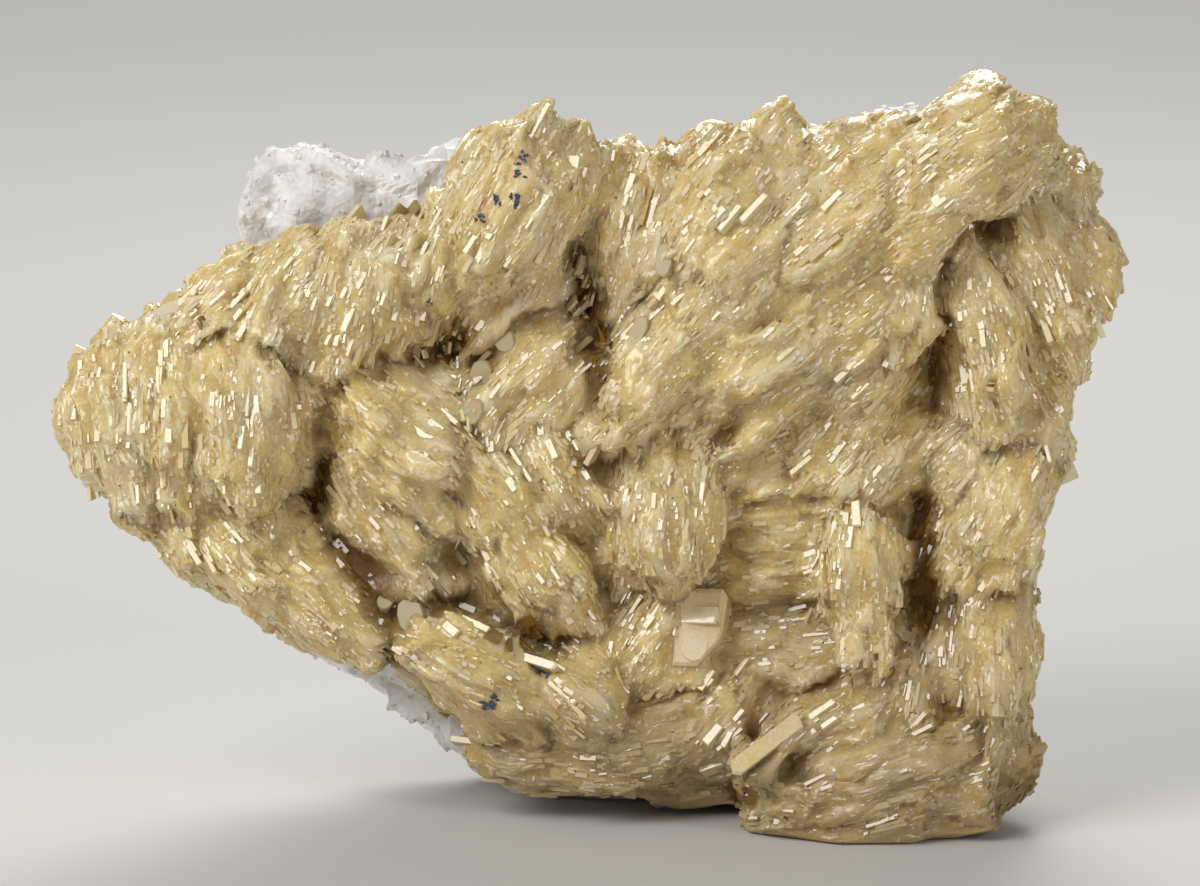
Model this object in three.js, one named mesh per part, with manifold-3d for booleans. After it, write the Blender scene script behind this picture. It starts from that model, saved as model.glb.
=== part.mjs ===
// A barite crystal cluster: honey-yellow tabular barite in crowded fans of upright blades, grown over
// the face of a lump of white rock, with a few dark metallic grains on the blades.
// Millimetres, +Z up. +X runs across the crystal face and -Y points out of it, towards the viewer.
import * as THREE from "three";
import { mergeVertices } from "three/addons/utils/BufferGeometryUtils.js";
import Module from "manifold-3d";

const wasm = await Module();
wasm.setup();

// Driving sizes
const VIEW_TILT = THREE.MathUtils.degToRad(10); // the face is measured as seen from 10 degrees above
const FLOOR_RISE = 2.1; // the rise at which the floor under the middle plane is seen
const CENTRE_ACROSS = 0; // the middle of the whole specimen, in the measured places
const CENTRE_OUT = -5.5;
const PLATE_PITCH = 3.6; // between neighbouring plates at the rim of a fan
const PLATE_STEP = 0.75; // how unevenly the plates of a fan stand out
const PLATE_END = 0.42; // a plate's height at its end over that at its middle
const PLATE_LENGTH_SPREAD = 0.2;
const LEAST_PLATES = 3;
const STEPS_ALONG = 3; // flat faces along a plate's edge
const SEAM = 0.06; // the join between two plates, over their pitch
const FAN_SPREAD = THREE.MathUtils.degToRad(84); // how far the plates lean from the middle one
const LEAST_EDGE = 0.1; // what is smaller than this is closed up after the joins
const GAP = 0.3; // between the crust and the rock and grains that it grew round
const GRAIN_SUNK = 0.7; // how much of a dark grain is bedded in the crust
const PROBE_WIDTH = 0.2;
const PROBE_LENGTH = 100;
const ROOT_OUT = -6; // the fans are rooted this far into the crust's bed
const ROOT_WIDTH = 0.55; // over the fan's own
const BED_FRONT = -1; // the crust between the fans, measured out from the middle plane
const BED_BACK = -9;
const BED_CHAMFER = 3; // the bed's back edge is cut away by this much
const ROCK_CENTRE = { across: 4.3, rise: 32.4 };
const ROCK_ROUNDING = 0.45; // how much thinner the rock is at its edge
const ROCK_GRAIN = 0.8; // how far the rock's corners wander

// Each fan of blades: where its middle is seen, how far its crest stands out, the turn of its blades
// from level, and its half sizes along the blades, across them and out of the face.
const FANS = [
  { name: "left end", across: -40.6, rise: 35.2, crest: 5.5, turn: 98, along: 9, wide: 4, deep: 7 },
  { name: "left front", across: -29.5, rise: 36.6, crest: 9, turn: 96, along: 7.5, wide: 5.3, deep: 8 },
  { name: "left middle", across: -36.1, rise: 36.2, crest: 6.5, turn: 95, along: 7.5, wide: 3.5, deep: 6 },
  { name: "upper slope", across: -31.9, rise: 46, crest: 3, turn: 48, along: 6.2, wide: 4, deep: 7 },
  { name: "upper rise", across: -25.9, rise: 46.8, crest: 4.5, turn: 60, along: 5.8, wide: 4.5, deep: 7 },
  { name: "upper brow", across: -20.8, rise: 46.6, crest: 4.5, turn: 75, along: 6.2, wide: 4, deep: 7 },
  { name: "upper lip", across: -16.4, rise: 47.8, crest: 4, turn: 78, along: 5.2, wide: 3.4, deep: 6 },
  { name: "knob foot", across: -13, rise: 50.4, crest: 4, turn: 75, along: 5, wide: 3, deep: 6 },
  { name: "knob", across: -6.1, rise: 54.3, crest: 8, turn: 62, along: 8.2, wide: 5.5, deep: 8 },
  { name: "sweep top", across: -15.7, rise: 34.6, crest: 6.5, turn: 140, along: 8.6, wide: 4.6, deep: 8 },
  { name: "sweep middle", across: -9.4, rise: 30.3, crest: 5.5, turn: 128, along: 7, wide: 4, deep: 7 },
  { name: "sweep end", across: -5.1, rise: 24.7, crest: 6, turn: 125, along: 7, wide: 4, deep: 7 },
  { name: "sweep left", across: -17.4, rise: 27.3, crest: 4.5, turn: 130, along: 7.5, wide: 3.8, deep: 7 },
  { name: "hollow blades", across: -3.8, rise: 40, crest: 3.5, turn: 45, along: 7, wide: 4, deep: 7 },
  { name: "hollow wedge", across: -7.7, rise: 37, crest: 2, turn: 60, along: 5, wide: 2.5, deep: 5 },
  { name: "crossed blades", across: -2.6, rise: 32, crest: 4.5, turn: 120, along: 6, wide: 2.8, deep: 6 },
  { name: "crevice wall", across: 4.3, rise: 50.5, crest: 5, turn: 80, along: 7.8, wide: 2.5, deep: 8 },
  { name: "behind the knob", across: 1.7, rise: 54.2, crest: 2, turn: 80, along: 4.6, wide: 3, deep: 7 },
  { name: "crown left", across: 12.3, rise: 51.8, crest: 9, turn: 50, along: 9.6, wide: 6.6, deep: 10 },
  { name: "crown middle", across: 20.4, rise: 53.2, crest: 9, turn: 40, along: 9.6, wide: 5, deep: 10 },
  { name: "crown right", across: 26, rise: 56, crest: 8.5, turn: 40, along: 6.6, wide: 3.6, deep: 9 },
  { name: "crown end", across: 32.6, rise: 58.1, crest: 10.5, turn: 35, along: 7.1, wide: 4.8, deep: 9 },
  { name: "crown eave", across: 28, rise: 52.4, crest: 9, turn: 38, along: 7, wide: 3.3, deep: 8 },
  { name: "flank top", across: 6.4, rise: 41.7, crest: 7, turn: 48, along: 8, wide: 4.8, deep: 8 },
  { name: "face left", across: 14.5, rise: 44.7, crest: 8, turn: 40, along: 10, wide: 5, deep: 9 },
  { name: "face right", across: 21.3, rise: 45.8, crest: 7.5, turn: 38, along: 8.6, wide: 5, deep: 9 },
  { name: "face groove", across: 16.2, rise: 39.4, crest: 5.5, turn: 35, along: 9, wide: 3.8, deep: 8 },
  { name: "face foot", across: 23, rise: 40.3, crest: 5, turn: 42, along: 6.6, wide: 3.8, deep: 8 },
  { name: "valley blade", across: 26.6, rise: 46.4, crest: 8, turn: 82, along: 5.8, wide: 2.4, deep: 7 },
  { name: "middle blades", across: 20.8, rise: 34.5, crest: 6, turn: 48, along: 6.4, wide: 2.8, deep: 7 },
  { name: "middle right", across: 25.5, rise: 32.4, crest: 4.5, turn: 50, along: 6, wide: 2.8, deep: 7 },
  { name: "middle recess", across: 14.5, rise: 33.7, crest: 3, turn: 30, along: 7, wide: 3.3, deep: 6 },
  { name: "valley mouth", across: 31, rise: 33.9, crest: 4.5, turn: 48, along: 5, wide: 2.6, deep: 7 },
  { name: "wing inside", across: 33.6, rise: 43.2, crest: 7, turn: 104, along: 10, wide: 4, deep: 9 },
  { name: "right wing", across: 39.4, rise: 47.9, crest: 6, turn: 113, along: 9, wide: 4, deep: 8 },
  { name: "right spike", across: 41, rise: 57, crest: 2.5, turn: 85, along: 2.7, wide: 1.5, deep: 5 },
  { name: "right wing foot", across: 37.8, rise: 38.3, crest: 6, turn: 118, along: 6.6, wide: 3, deep: 8 },
  { name: "right edge", across: 34.9, rise: 29.4, crest: 7, turn: 62, along: 8.8, wide: 4.6, deep: 9 },
  { name: "edge inside", across: 31.3, rise: 25.2, crest: 5.5, turn: 70, along: 6, wide: 3, deep: 8 },
  { name: "right column", across: 34, rise: 15, crest: 7.5, turn: 92, along: 8.6, wide: 3.6, deep: 9 },
  { name: "column inside", across: 30.4, rise: 16.7, crest: 6, turn: 90, along: 8.6, wide: 2.8, deep: 8 },
  { name: "right heel", across: 34.9, rise: 7.6, crest: 8, turn: 80, along: 4.8, wide: 2.8, deep: 8 },
  { name: "foot", across: 23.8, rise: 4.3, crest: 12, turn: 15, along: 9.6, wide: 4.4, deep: 10 },
  { name: "foot right", across: 31, rise: 5.4, crest: 11, turn: 20, along: 6.6, wide: 4.2, deep: 10 },
  { name: "foot left", across: 17.9, rise: 4.6, crest: 10, turn: 168, along: 5.4, wide: 2.7, deep: 9 },
  { name: "foot top", across: 26.4, rise: 8.1, crest: 10.5, turn: 18, along: 8, wide: 3.4, deep: 10 },
  { name: "long blades", across: 20.8, rise: 12, crest: 9.5, turn: 33, along: 7.6, wide: 2.4, deep: 9 },
  { name: "long foot", across: 22.6, rise: 9, crest: 9.5, turn: 30, along: 6.6, wide: 2.8, deep: 9 },
  { name: "column foot", across: 28, rise: 11.9, crest: 8, turn: 85, along: 5.8, wide: 3, deep: 8 },
  { name: "upright book", across: 6.8, rise: 28.6, crest: 8, turn: 90, along: 6.3, wide: 4.6, deep: 8 },
  { name: "upright leaf", across: 2.6, rise: 27.7, crest: 5.5, turn: 88, along: 5.4, wide: 1.9, deep: 7 },
  { name: "spindle", across: 23.1, rise: 23.5, crest: 9.5, turn: 92, along: 7.5, wide: 3, deep: 8 },
  { name: "spindle tip", across: 23.4, rise: 17.5, crest: 8.5, turn: 92, along: 3.8, wide: 1.9, deep: 6 },
  { name: "level blades top", across: 16.2, rise: 28.6, crest: 3, turn: 5, along: 7, wide: 3, deep: 7 },
  { name: "level blades", across: 16.2, rise: 23.5, crest: 4, turn: 8, along: 6, wide: 2.7, deep: 7 },
  { name: "level foot", across: 17.6, rise: 16.7, crest: 4, turn: 5, along: 6.6, wide: 2.8, deep: 7 },
  { name: "pocket wall", across: 5.1, rise: 16.7, crest: 4, turn: 60, along: 7, wide: 4, deep: 7 },
  { name: "lower shield", across: -9.4, rise: 14.5, crest: 8, turn: 150, along: 9.2, wide: 4.6, deep: 8 },
  { name: "shield right", across: -0.9, rise: 12.6, crest: 7, turn: 140, along: 6, wide: 4.3, deep: 8 },
  { name: "lower ledge", across: -2.2, rise: 8.4, crest: 5.5, turn: 175, along: 8.6, wide: 3.3, deep: 8 },
  { name: "ledge right", across: 4.3, rise: 10, crest: 6.5, turn: 10, along: 6, wide: 3, deep: 8 },
  { name: "lower bulge", across: 8.6, rise: 6.3, crest: 3.5, turn: 5, along: 5.2, wide: 2.4, deep: 8 },
  { name: "small plates", across: 11.1, rise: 10.6, crest: 6.5, turn: 50, along: 5, wide: 2.8, deep: 8 },
  { name: "lower edge", across: -35.3, rise: 25.9, crest: 3.5, turn: 120, along: 5.6, wide: 3.6, deep: 6 },
  { name: "lower left", across: -28.9, rise: 24, crest: 5, turn: 132, along: 7.6, wide: 4.6, deep: 7 },
  { name: "lower end", across: -23, rise: 21.3, crest: 5.5, turn: 138, along: 6.2, wide: 3.6, deep: 7 },
  { name: "lower top", across: -28, rise: 27.2, crest: 4.5, turn: 140, along: 7, wide: 3.4, deep: 7 },
  { name: "left foot", across: -38.8, rise: 29, crest: 3, turn: 105, along: 3.8, wide: 2.8, deep: 6 },
];

// Single large crystals: a square tablet that faces the viewer and a long bar.
const TABLET = { across: 9.8, rise: 18, out: 6.6, turn: 84, long: 6.2, wide: 4.4, thick: 1.6, lean: 12 };
const BAR = { across: 14.9, rise: 9, out: 9.6, turn: 38, long: 6.8, wide: 1.7, thick: 2, lean: 4 };

// Corners of the crust's bed, as seen
const BED_OUTLINE = [
  [-41.5, 41.5], [-36.5, 43.2], [-30, 48], [-22, 50.5], [-14, 50.5], [-9, 54], [1, 57],
  [9.5, 58], [23, 59], [31.5, 61], [37.5, 57], [40.5, 52], [42, 47.5], [40, 41.5], [39, 34.5],
  [37.5, 28.5], [36, 23.5], [35.5, 11.5], [35, 4.8], [28.5, 2.6], [18, 3], [14.5, 5.2],
  [-2.5, 6], [-9.5, 8.5], [-16, 13.2], [-22, 17.8], [-30.5, 21.8], [-38, 26.8], [-42, 33.5],
];

// The rock's outline, as seen from the front: how far its edge lies from its centre at each angle
const ROCK_OUTLINE = [
  [0, 33], [22, 35.5], [40, 36], [51, 37.3], [58, 32.5], [68, 28.6], [90, 25], [112, 27.2],
  [128, 33], [133, 36.2], [137, 38.8], [141, 41.2], [145, 40.4], [152, 38.6], [165, 38.5],
  [180, 38], [197, 35.5], [212, 31.6], [222, 30], [233, 29.2], [247, 30.3], [257, 31],
  [270, 32], [295, 33], [315, 36], [335, 33],
];
const ROCK_FRONT = -2.5; // the face that the crystals grew on, measured out
const ROCK_BACK = -21.5;
const ROCK_GRID = [11, 8, 3];

// Flat faces where the rock broke: the way each faces, as its angle seen from the front and how far it
// turns to the back, and its distance from the rock's middle
const BREAKS = [
  { angle: 25, back: 52, distance: 25.5 },
  { angle: 100, back: 48, distance: 22 },
  { angle: 165, back: 40, distance: 29 },
  { angle: 205, back: 62, distance: 18 },
  { angle: 285, back: 30, distance: 27 },
  { angle: 330, back: 50, distance: 26 },
  { angle: 60, back: 82, distance: 9.2 },
];

// Dark grains: where each is seen, and its length, width and thickness
const GRAINS = [
  { across: -5.6, rise: 58, turn: 60, long: 1.5, wide: 0.8, thick: 0.9 },
  { across: -5.9, rise: 56.7, turn: 20, long: 1.6, wide: 0.9, thick: 1 },
  { across: -6.2, rise: 54.4, turn: 75, long: 1.9, wide: 1, thick: 1 },
  { across: -7.7, rise: 54.6, turn: 70, long: 1.5, wide: 0.7, thick: 0.9 },
  { across: -9.1, rise: 52.9, turn: 60, long: 1.1, wide: 0.8, thick: 0.9 },
  { across: -13.5, rise: 46.2, turn: 80, long: 1, wide: 0.7, thick: 0.9 },
  { across: -8.7, rise: 12.3, turn: 25, long: 2.4, wide: 1.4, thick: 1.1 },
  { across: -4.3, rise: 15.1, turn: 150, long: 2.1, wide: 1.4, thick: 1.1 },
];

// A repeatable random number generator.
function seeded(seed) {
  let state = seed;
  return () => {
    state = (state + 0x6d2b79f5) | 0;
    let t = Math.imul(state ^ (state >>> 15), 1 | state);
    t = (t + Math.imul(t ^ (t >>> 7), 61 | t)) ^ t;
    return ((t ^ (t >>> 14)) >>> 0) / 4294967296;
  };
}

// The model's own place of something measured on the face. A nearer point is seen lower.
function seen(across, rise, out) {
  const z = (rise - FLOOR_RISE + out * Math.sin(VIEW_TILT)) / Math.cos(VIEW_TILT);
  return new THREE.Vector3(across - CENTRE_ACROSS, CENTRE_OUT - out, z);
}

function solidOf(geometry) {
  geometry.deleteAttribute("normal");
  geometry.deleteAttribute("uv");
  const merged = mergeVertices(geometry, 1e-4);
  return new wasm.Manifold(
    new wasm.Mesh({
      numProp: 3,
      vertProperties: merged.attributes.position.array,
      triVerts: new Uint32Array(merged.index.array),
    }),
  );
}

function geometryOf(solid) {
  const mesh = solid.getMesh();
  const places = new Float32Array(mesh.numVert * 3);
  for (let i = 0; i < mesh.numVert; i++)
    places.set(mesh.vertProperties.subarray(i * mesh.numProp, i * mesh.numProp + 3), i * 3);
  const geometry = new THREE.BufferGeometry();
  geometry.setAttribute("position", new THREE.BufferAttribute(places, 3));
  geometry.setIndex(new THREE.BufferAttribute(mesh.triVerts, 1));
  return geometry;
}

function joined(solids) {
  return solids.reduce((all, one) => all.add(one));
}

// The one body that a cut leaves, without the crumbs that it parts and the hollows that it shuts in.
function whole(solid) {
  const bodies = solid.decompose();
  return bodies.reduce((largest, body) => (body.volume() > largest.volume() ? body : largest));
}

// A frame at a measured place: X along the blades, Y across them, Z out of the face.
function standing(place, turnDegrees, leanDegrees = 0) {
  const turn = THREE.MathUtils.degToRad(turnDegrees);
  const along = new THREE.Vector3(Math.cos(turn), 0, Math.sin(turn));
  const out = new THREE.Vector3(0, -1, 0);
  out.applyAxisAngle(along, THREE.MathUtils.degToRad(leanDegrees));
  const across = out.clone().cross(along);
  return new THREE.Matrix4().makeBasis(along, across, out).setPosition(place);
}

// A tabular crystal: a flat polygon in the plane of X and Y, thickened evenly both ways along Z.
function plate(corners, thickness) {
  const shape = new THREE.Shape(corners.map(([x, y]) => new THREE.Vector2(x, y)));
  const geometry = new THREE.ExtrudeGeometry(shape, { depth: thickness, bevelEnabled: false });
  return geometry.translate(0, 0, -thickness / 2);
}

// How far an oval of the fan's half sizes reaches from its middle, at a lean from its deep axis.
function ovalReach(fan, lean) {
  return 1 / Math.hypot(Math.sin(lean) / fan.wide, Math.cos(lean) / fan.deep);
}

// A fan: plates that stand side by side on a shared root line and lean apart, each with its own reach
// and length, so that their flat edges and ends make steps. They have grown together into one solid.
function fanSolid(fan, seed) {
  const chance = seeded(seed);
  const uneven = () => 2 * chance() - 1;
  const count = Math.max(LEAST_PLATES, Math.round((FAN_SPREAD * (fan.wide + fan.deep)) / PLATE_PITCH));
  const pitch = (2 * FAN_SPREAD) / count;
  const plates = [];
  for (let i = 0; i < count; i++) {
    const lean = (i + 0.5) * pitch - FAN_SPREAD;
    const reach = ovalReach(fan, lean) + PLATE_STEP * uneven();
    const ends = [1 + PLATE_LENGTH_SPREAD * uneven(), 1 + PLATE_LENGTH_SPREAD * uneven()];
    plates.push({ lean, reach, ends });
  }
  const corners = plates.flatMap(({ lean, reach }) =>
    [lean - pitch * (0.5 - SEAM), lean + pitch * (0.5 - SEAM)].map(
      (angle) => new THREE.Vector2(reach * Math.sin(angle), reach * Math.cos(angle)),
    ),
  );
  const root = ROOT_OUT - (fan.crest - fan.deep);
  for (const side of [ROOT_WIDTH, -ROOT_WIDTH]) corners.push(new THREE.Vector2(side * fan.wide, root));
  const depth = 2 * fan.along;
  const geometry = new THREE.ExtrudeGeometry(new THREE.Shape(corners), {
    depth,
    steps: STEPS_ALONG,
    bevelEnabled: false,
  });
  const position = geometry.attributes.position;
  for (let i = 0; i < position.count; i++) {
    const [x, y] = [position.getX(i), position.getY(i)];
    const share = (2 * position.getZ(i)) / depth - 1;
    const index = Math.floor((Math.atan2(x, y) + FAN_SPREAD) / pitch);
    const { ends } = plates[THREE.MathUtils.clamp(index, 0, count - 1)];
    const taper = Math.sqrt(1 - (1 - PLATE_END ** 2) * share * share);
    const along = fan.along * share * ends[share < 0 ? 0 : 1];
    position.setXYZ(i, along, x * taper, y * taper);
  }
  const frame = standing(seen(fan.across, fan.rise, fan.crest - fan.deep), fan.turn);
  return solidOf(geometry.applyMatrix4(frame));
}

// A single crystal with a six-cornered face, cut back at its corners.
function tabletSolid(size) {
  const [l, w] = [size.long / 2, size.wide / 2];
  const lower = [[-l, -w * 0.5], [-l * 0.6, -w], [l * 0.8, -w]];
  const upper = [[l, -w * 0.3], [l * 0.75, w], [-l * 0.9, w]];
  const corners = [...lower, ...upper];
  const place = seen(size.across, size.rise, size.out - size.thick);
  const geometry = plate(corners, 2 * size.thick);
  return solidOf(geometry.applyMatrix4(standing(place, size.turn, size.lean)));
}

function bedSolid() {
  const shape = new THREE.Shape(BED_OUTLINE.map(([x, y]) => new THREE.Vector2(x, y)));
  const geometry = new THREE.ExtrudeGeometry(shape, {
    depth: BED_FRONT - BED_BACK - 2 * BED_CHAMFER,
    bevelSize: BED_CHAMFER,
    bevelThickness: BED_CHAMFER,
    bevelOffset: -BED_CHAMFER,
    bevelSegments: 1,
  });
  geometry.translate(0, 0, BED_CHAMFER);
  const position = geometry.attributes.position;
  for (let i = 0; i < position.count; i++) {
    const place = seen(position.getX(i), position.getY(i), BED_BACK + position.getZ(i));
    position.setXYZ(i, place.x, place.y, place.z);
  }
  return solidOf(geometry);
}

function rockRadius(angle) {
  const degrees = (THREE.MathUtils.radToDeg(angle) + 360) % 360;
  const after = ROCK_OUTLINE.findIndex(([a]) => a > degrees);
  const [high, low] = after < 0 ? [0, ROCK_OUTLINE.length - 1] : [after, after - 1];
  const [a0, r0] = ROCK_OUTLINE[low];
  const [a1, r1] = ROCK_OUTLINE[high];
  const span = (a1 - a0 + 360) % 360;
  return r0 + ((r1 - r0) * (degrees - a0)) / span;
}

// The lump of rock, grown outwards evenly by a margin. A box of small squares is rounded to its outline.
function rockSolid(margin) {
  const geometry = new THREE.BoxGeometry(2, 2, 2, ...ROCK_GRID);
  geometry.deleteAttribute("normal");
  geometry.deleteAttribute("uv");
  const merged = mergeVertices(geometry, 1e-4);
  const position = merged.attributes.position;
  const chance = seeded(5);
  for (let i = 0; i < position.count; i++) {
    const [u, v, w] = [position.getX(i), position.getY(i), position.getZ(i)];
    const x = u * Math.sqrt(1 - (v * v) / 2);
    const y = v * Math.sqrt(1 - (u * u) / 2);
    const reach = Math.hypot(x, y);
    const angle = Math.atan2(y, x);
    const radius = (rockRadius(angle) + margin) * reach;
    const rim = 1 - ROCK_ROUNDING * reach ** 5;
    const middle = (ROCK_FRONT + ROCK_BACK) / 2;
    const half = (ROCK_FRONT - ROCK_BACK) / 2;
    const lumps = 1.1 * Math.sin(u * 5.1 + 2 * v) * Math.cos(v * 4.3 - u);
    const out = middle + w * (half * rim + margin + lumps * (w < 0 ? 1.4 : 0.5));
    const place = seen(
      ROCK_CENTRE.across + radius * Math.cos(angle) + ROCK_GRAIN * (chance() - 0.5),
      ROCK_CENTRE.rise + radius * Math.sin(angle) + ROCK_GRAIN * (chance() - 0.5),
      out + ROCK_GRAIN * (chance() - 0.5),
    );
    position.setXYZ(i, place.x, place.y, place.z);
  }
  const lump = solidOf(merged.toNonIndexed());
  return BREAKS.reduce((rock, face) => rock.subtract(beyondBreak(face, margin)), lump);
}

// Everything past one of the rock's broken faces.
function beyondBreak({ angle, back, distance }, margin) {
  const size = 120;
  const [turn, dip] = [THREE.MathUtils.degToRad(angle), THREE.MathUtils.degToRad(back)];
  const facing = new THREE.Vector3(
    Math.cos(turn) * Math.cos(dip),
    Math.sin(dip),
    Math.sin(turn) * Math.cos(dip),
  );
  const middle = seen(ROCK_CENTRE.across, ROCK_CENTRE.rise, (ROCK_FRONT + ROCK_BACK) / 2);
  const geometry = new THREE.BoxGeometry(size, size, size);
  geometry.applyQuaternion(new THREE.Quaternion().setFromUnitVectors(new THREE.Vector3(0, 0, 1), facing));
  const place = middle.addScaledVector(facing, size / 2 + distance + margin);
  return solidOf(geometry.translate(place.x, place.y, place.z));
}

// What lies under the floor that the specimen stands on.
function underFloor() {
  const size = 200;
  return solidOf(new THREE.BoxGeometry(size, size, size).translate(0, 0, -size / 2));
}

function crustSolid() {
  const fans = FANS.map((fan, index) => fanSolid(fan, 100 + index));
  const grown = joined([bedSolid(), ...fans, tabletSolid(TABLET), tabletSolid(BAR)]);
  return whole(grown.subtract(rockSolid(GAP)).subtract(underFloor()));
}

// How far out of the face the crust stands, where it is seen at a place.
function surfaceOut(crust, across, rise) {
  const probe = new THREE.BoxGeometry(PROBE_WIDTH, PROBE_LENGTH, PROBE_WIDTH);
  const middle = seen(across, rise, 0);
  probe.rotateX(-VIEW_TILT).translate(middle.x, middle.y, middle.z);
  return CENTRE_OUT - crust.intersect(solidOf(probe)).boundingBox().min[1];
}

// A dark grain: a thick five-sided flake bedded in the blades, grown evenly by a margin.
function grainSolid(crust, grain, margin) {
  const sunk = surfaceOut(crust, grain.across, grain.rise) - GRAIN_SUNK * grain.thick;
  const [l, w] = [grain.long / 2 + margin, grain.wide / 2 + margin];
  const corners = [[-l, -w * 0.4], [-l * 0.2, -w], [l, -w * 0.6], [l * 0.8, w * 0.7], [-l * 0.6, w]];
  const geometry = plate(corners, grain.thick + 2 * margin);
  const place = seen(grain.across, grain.rise, sunk + grain.thick / 2);
  return solidOf(geometry.applyMatrix4(standing(place, grain.turn)));
}

const grown = crustSolid();
const rock = rockSolid(0).subtract(underFloor());
const grains = GRAINS.map((grain) => grainSolid(grown, grain, 0));
const crust = GRAINS.reduce((left, grain) => left.subtract(grainSolid(grown, grain, GAP)), grown);

const BARITE = new THREE.MeshStandardMaterial({ color: 0xd8b974, roughness: 0.25, metalness: 0 });
const ROCK = new THREE.MeshStandardMaterial({ color: 0xd9d5d0, roughness: 0.7, metalness: 0 });
const DARK_GRAIN = new THREE.MeshStandardMaterial({ color: 0x2b2f38, roughness: 0.35, metalness: 0.6 });

const cluster = new THREE.Group();
function add(name, solid, material) {
  const mesh = new THREE.Mesh(geometryOf(solid), material);
  mesh.name = name;
  cluster.add(mesh);
}
add("barite_crust", whole(crust.simplify(LEAST_EDGE)), BARITE);
add("rock", rock, ROCK);
grains.forEach((grain, index) => add(`dark_grain_${index + 1}`, grain, DARK_GRAIN));

export default cluster;
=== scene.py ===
"""The looks of a barite crystal cluster: honey-yellow tabular barite in crowded fans of upright blades, on
a lump of white sugary rock, with a few dark metallic grains.

Places on the crystal face are measured as the face is seen from 10 degrees above: millimetres across from
the middle, millimetres of rise, and millimetres out of the face towards the viewer.
"""

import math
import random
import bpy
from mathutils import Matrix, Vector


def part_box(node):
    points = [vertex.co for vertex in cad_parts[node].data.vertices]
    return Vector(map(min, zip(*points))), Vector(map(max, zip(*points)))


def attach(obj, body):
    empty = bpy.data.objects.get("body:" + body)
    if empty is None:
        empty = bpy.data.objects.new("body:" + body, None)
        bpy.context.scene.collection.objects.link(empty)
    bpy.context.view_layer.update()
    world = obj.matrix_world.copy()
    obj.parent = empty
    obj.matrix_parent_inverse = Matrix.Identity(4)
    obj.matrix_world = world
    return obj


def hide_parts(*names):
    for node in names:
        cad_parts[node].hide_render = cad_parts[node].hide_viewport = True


bl_info = {
    "name": "Barite crystal cluster",
    "version": (1, 0, 0),
    "blender": (4, 5, 0),
    "location": "3D View > Sidebar > Barite",
    "description": "Dresses a barite hand specimen with its blades, rock and grains",
    "category": "Add Mesh",
}

from collections import namedtuple
from contextlib import contextmanager
from functools import partial

import bmesh
import bpy
import numpy as np
from bpy.props import FloatProperty, FloatVectorProperty, IntProperty, PointerProperty
from mathutils import Matrix, Vector, noise
from mathutils.bvhtree import BVHTree

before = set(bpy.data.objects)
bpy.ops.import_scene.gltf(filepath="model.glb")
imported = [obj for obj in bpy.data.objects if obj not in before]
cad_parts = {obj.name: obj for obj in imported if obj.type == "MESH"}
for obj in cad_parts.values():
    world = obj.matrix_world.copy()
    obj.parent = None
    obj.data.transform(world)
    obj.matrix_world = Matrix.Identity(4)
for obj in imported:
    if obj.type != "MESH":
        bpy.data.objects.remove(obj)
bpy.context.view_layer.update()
GRAIN_NODES = [name for name in sorted(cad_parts) if name.startswith("dark_grain")]
MM = 0.001

# How far above the level the face is seen from.
VIEW_TILT = math.radians(10)
# The rise at which the floor under the middle plane is seen, and how far out of that plane the middle of
# the specimen lies.
FLOOR_RISE = 2.1
CENTRE_OUT = -5.5
# How gently the blades turn from one fan's lie to the next, and how far they splay at a fan's edge.
FAN_BLEND = 0.07
FAN_SPLAY = 0.55
# How far the lower right edge of a mass overhangs, in millimetres, the share of that for the edge of a fan,
# and which way such an edge looks: right, back and up.
LIP = 1.9
FAN_LIP = 0.4
DOWNHILL = np.array([0.5, 0, -0.85])
# How wide the edge of a mass and of a fan is, as a share of the fan's size.
MASS_EDGE = 0.4
FAN_EDGE = 0.25
# How far the edges wander, and how long and how wide the teeth are that the blades' ends leave in them, in
# millimetres.
RAGGED = 0.8
TEETH = (1.6, 0.9)
# Creases of the crust that a ball of this radius can't enter are filled up, in millimetres.
CREASE_FILL = 1.0
# How much painted shade darkens the crust at the foot of an overhang, and how much near the floor, up to a
# height in millimetres.
OVERHANG_SHADE = 0.45
FLOOR_SHADE = 0.55
FLOOR_SHADE_HEIGHT = 18
# How far off a thing can be that shades a place, in millimetres, and how many rays look for one.
SHADE_REACH = 9
SHADE_RAYS = 14
# How many millimetres a hollow of depth 1 goes in.
HOLLOW_DEPTH = 1.3
# A book of blades: how long, how thick and how deep it runs, in millimetres.
BOOK_SIZE = (5.0, 0.9, 3.0)
# Most blade tips look a little up and to the left from the viewer.
TIP_FACING = (-0.33, -0.83, 0.44)
# The top of a large crystal is bevelled by this share of its width, and by so many millimetres at most.
BEVEL = 0.14
WIDEST_BEVEL = 0.3
# Keeps the cells of a pattern so far apart that each draws its own value.
CELL_SPREAD = 57.3

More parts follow.
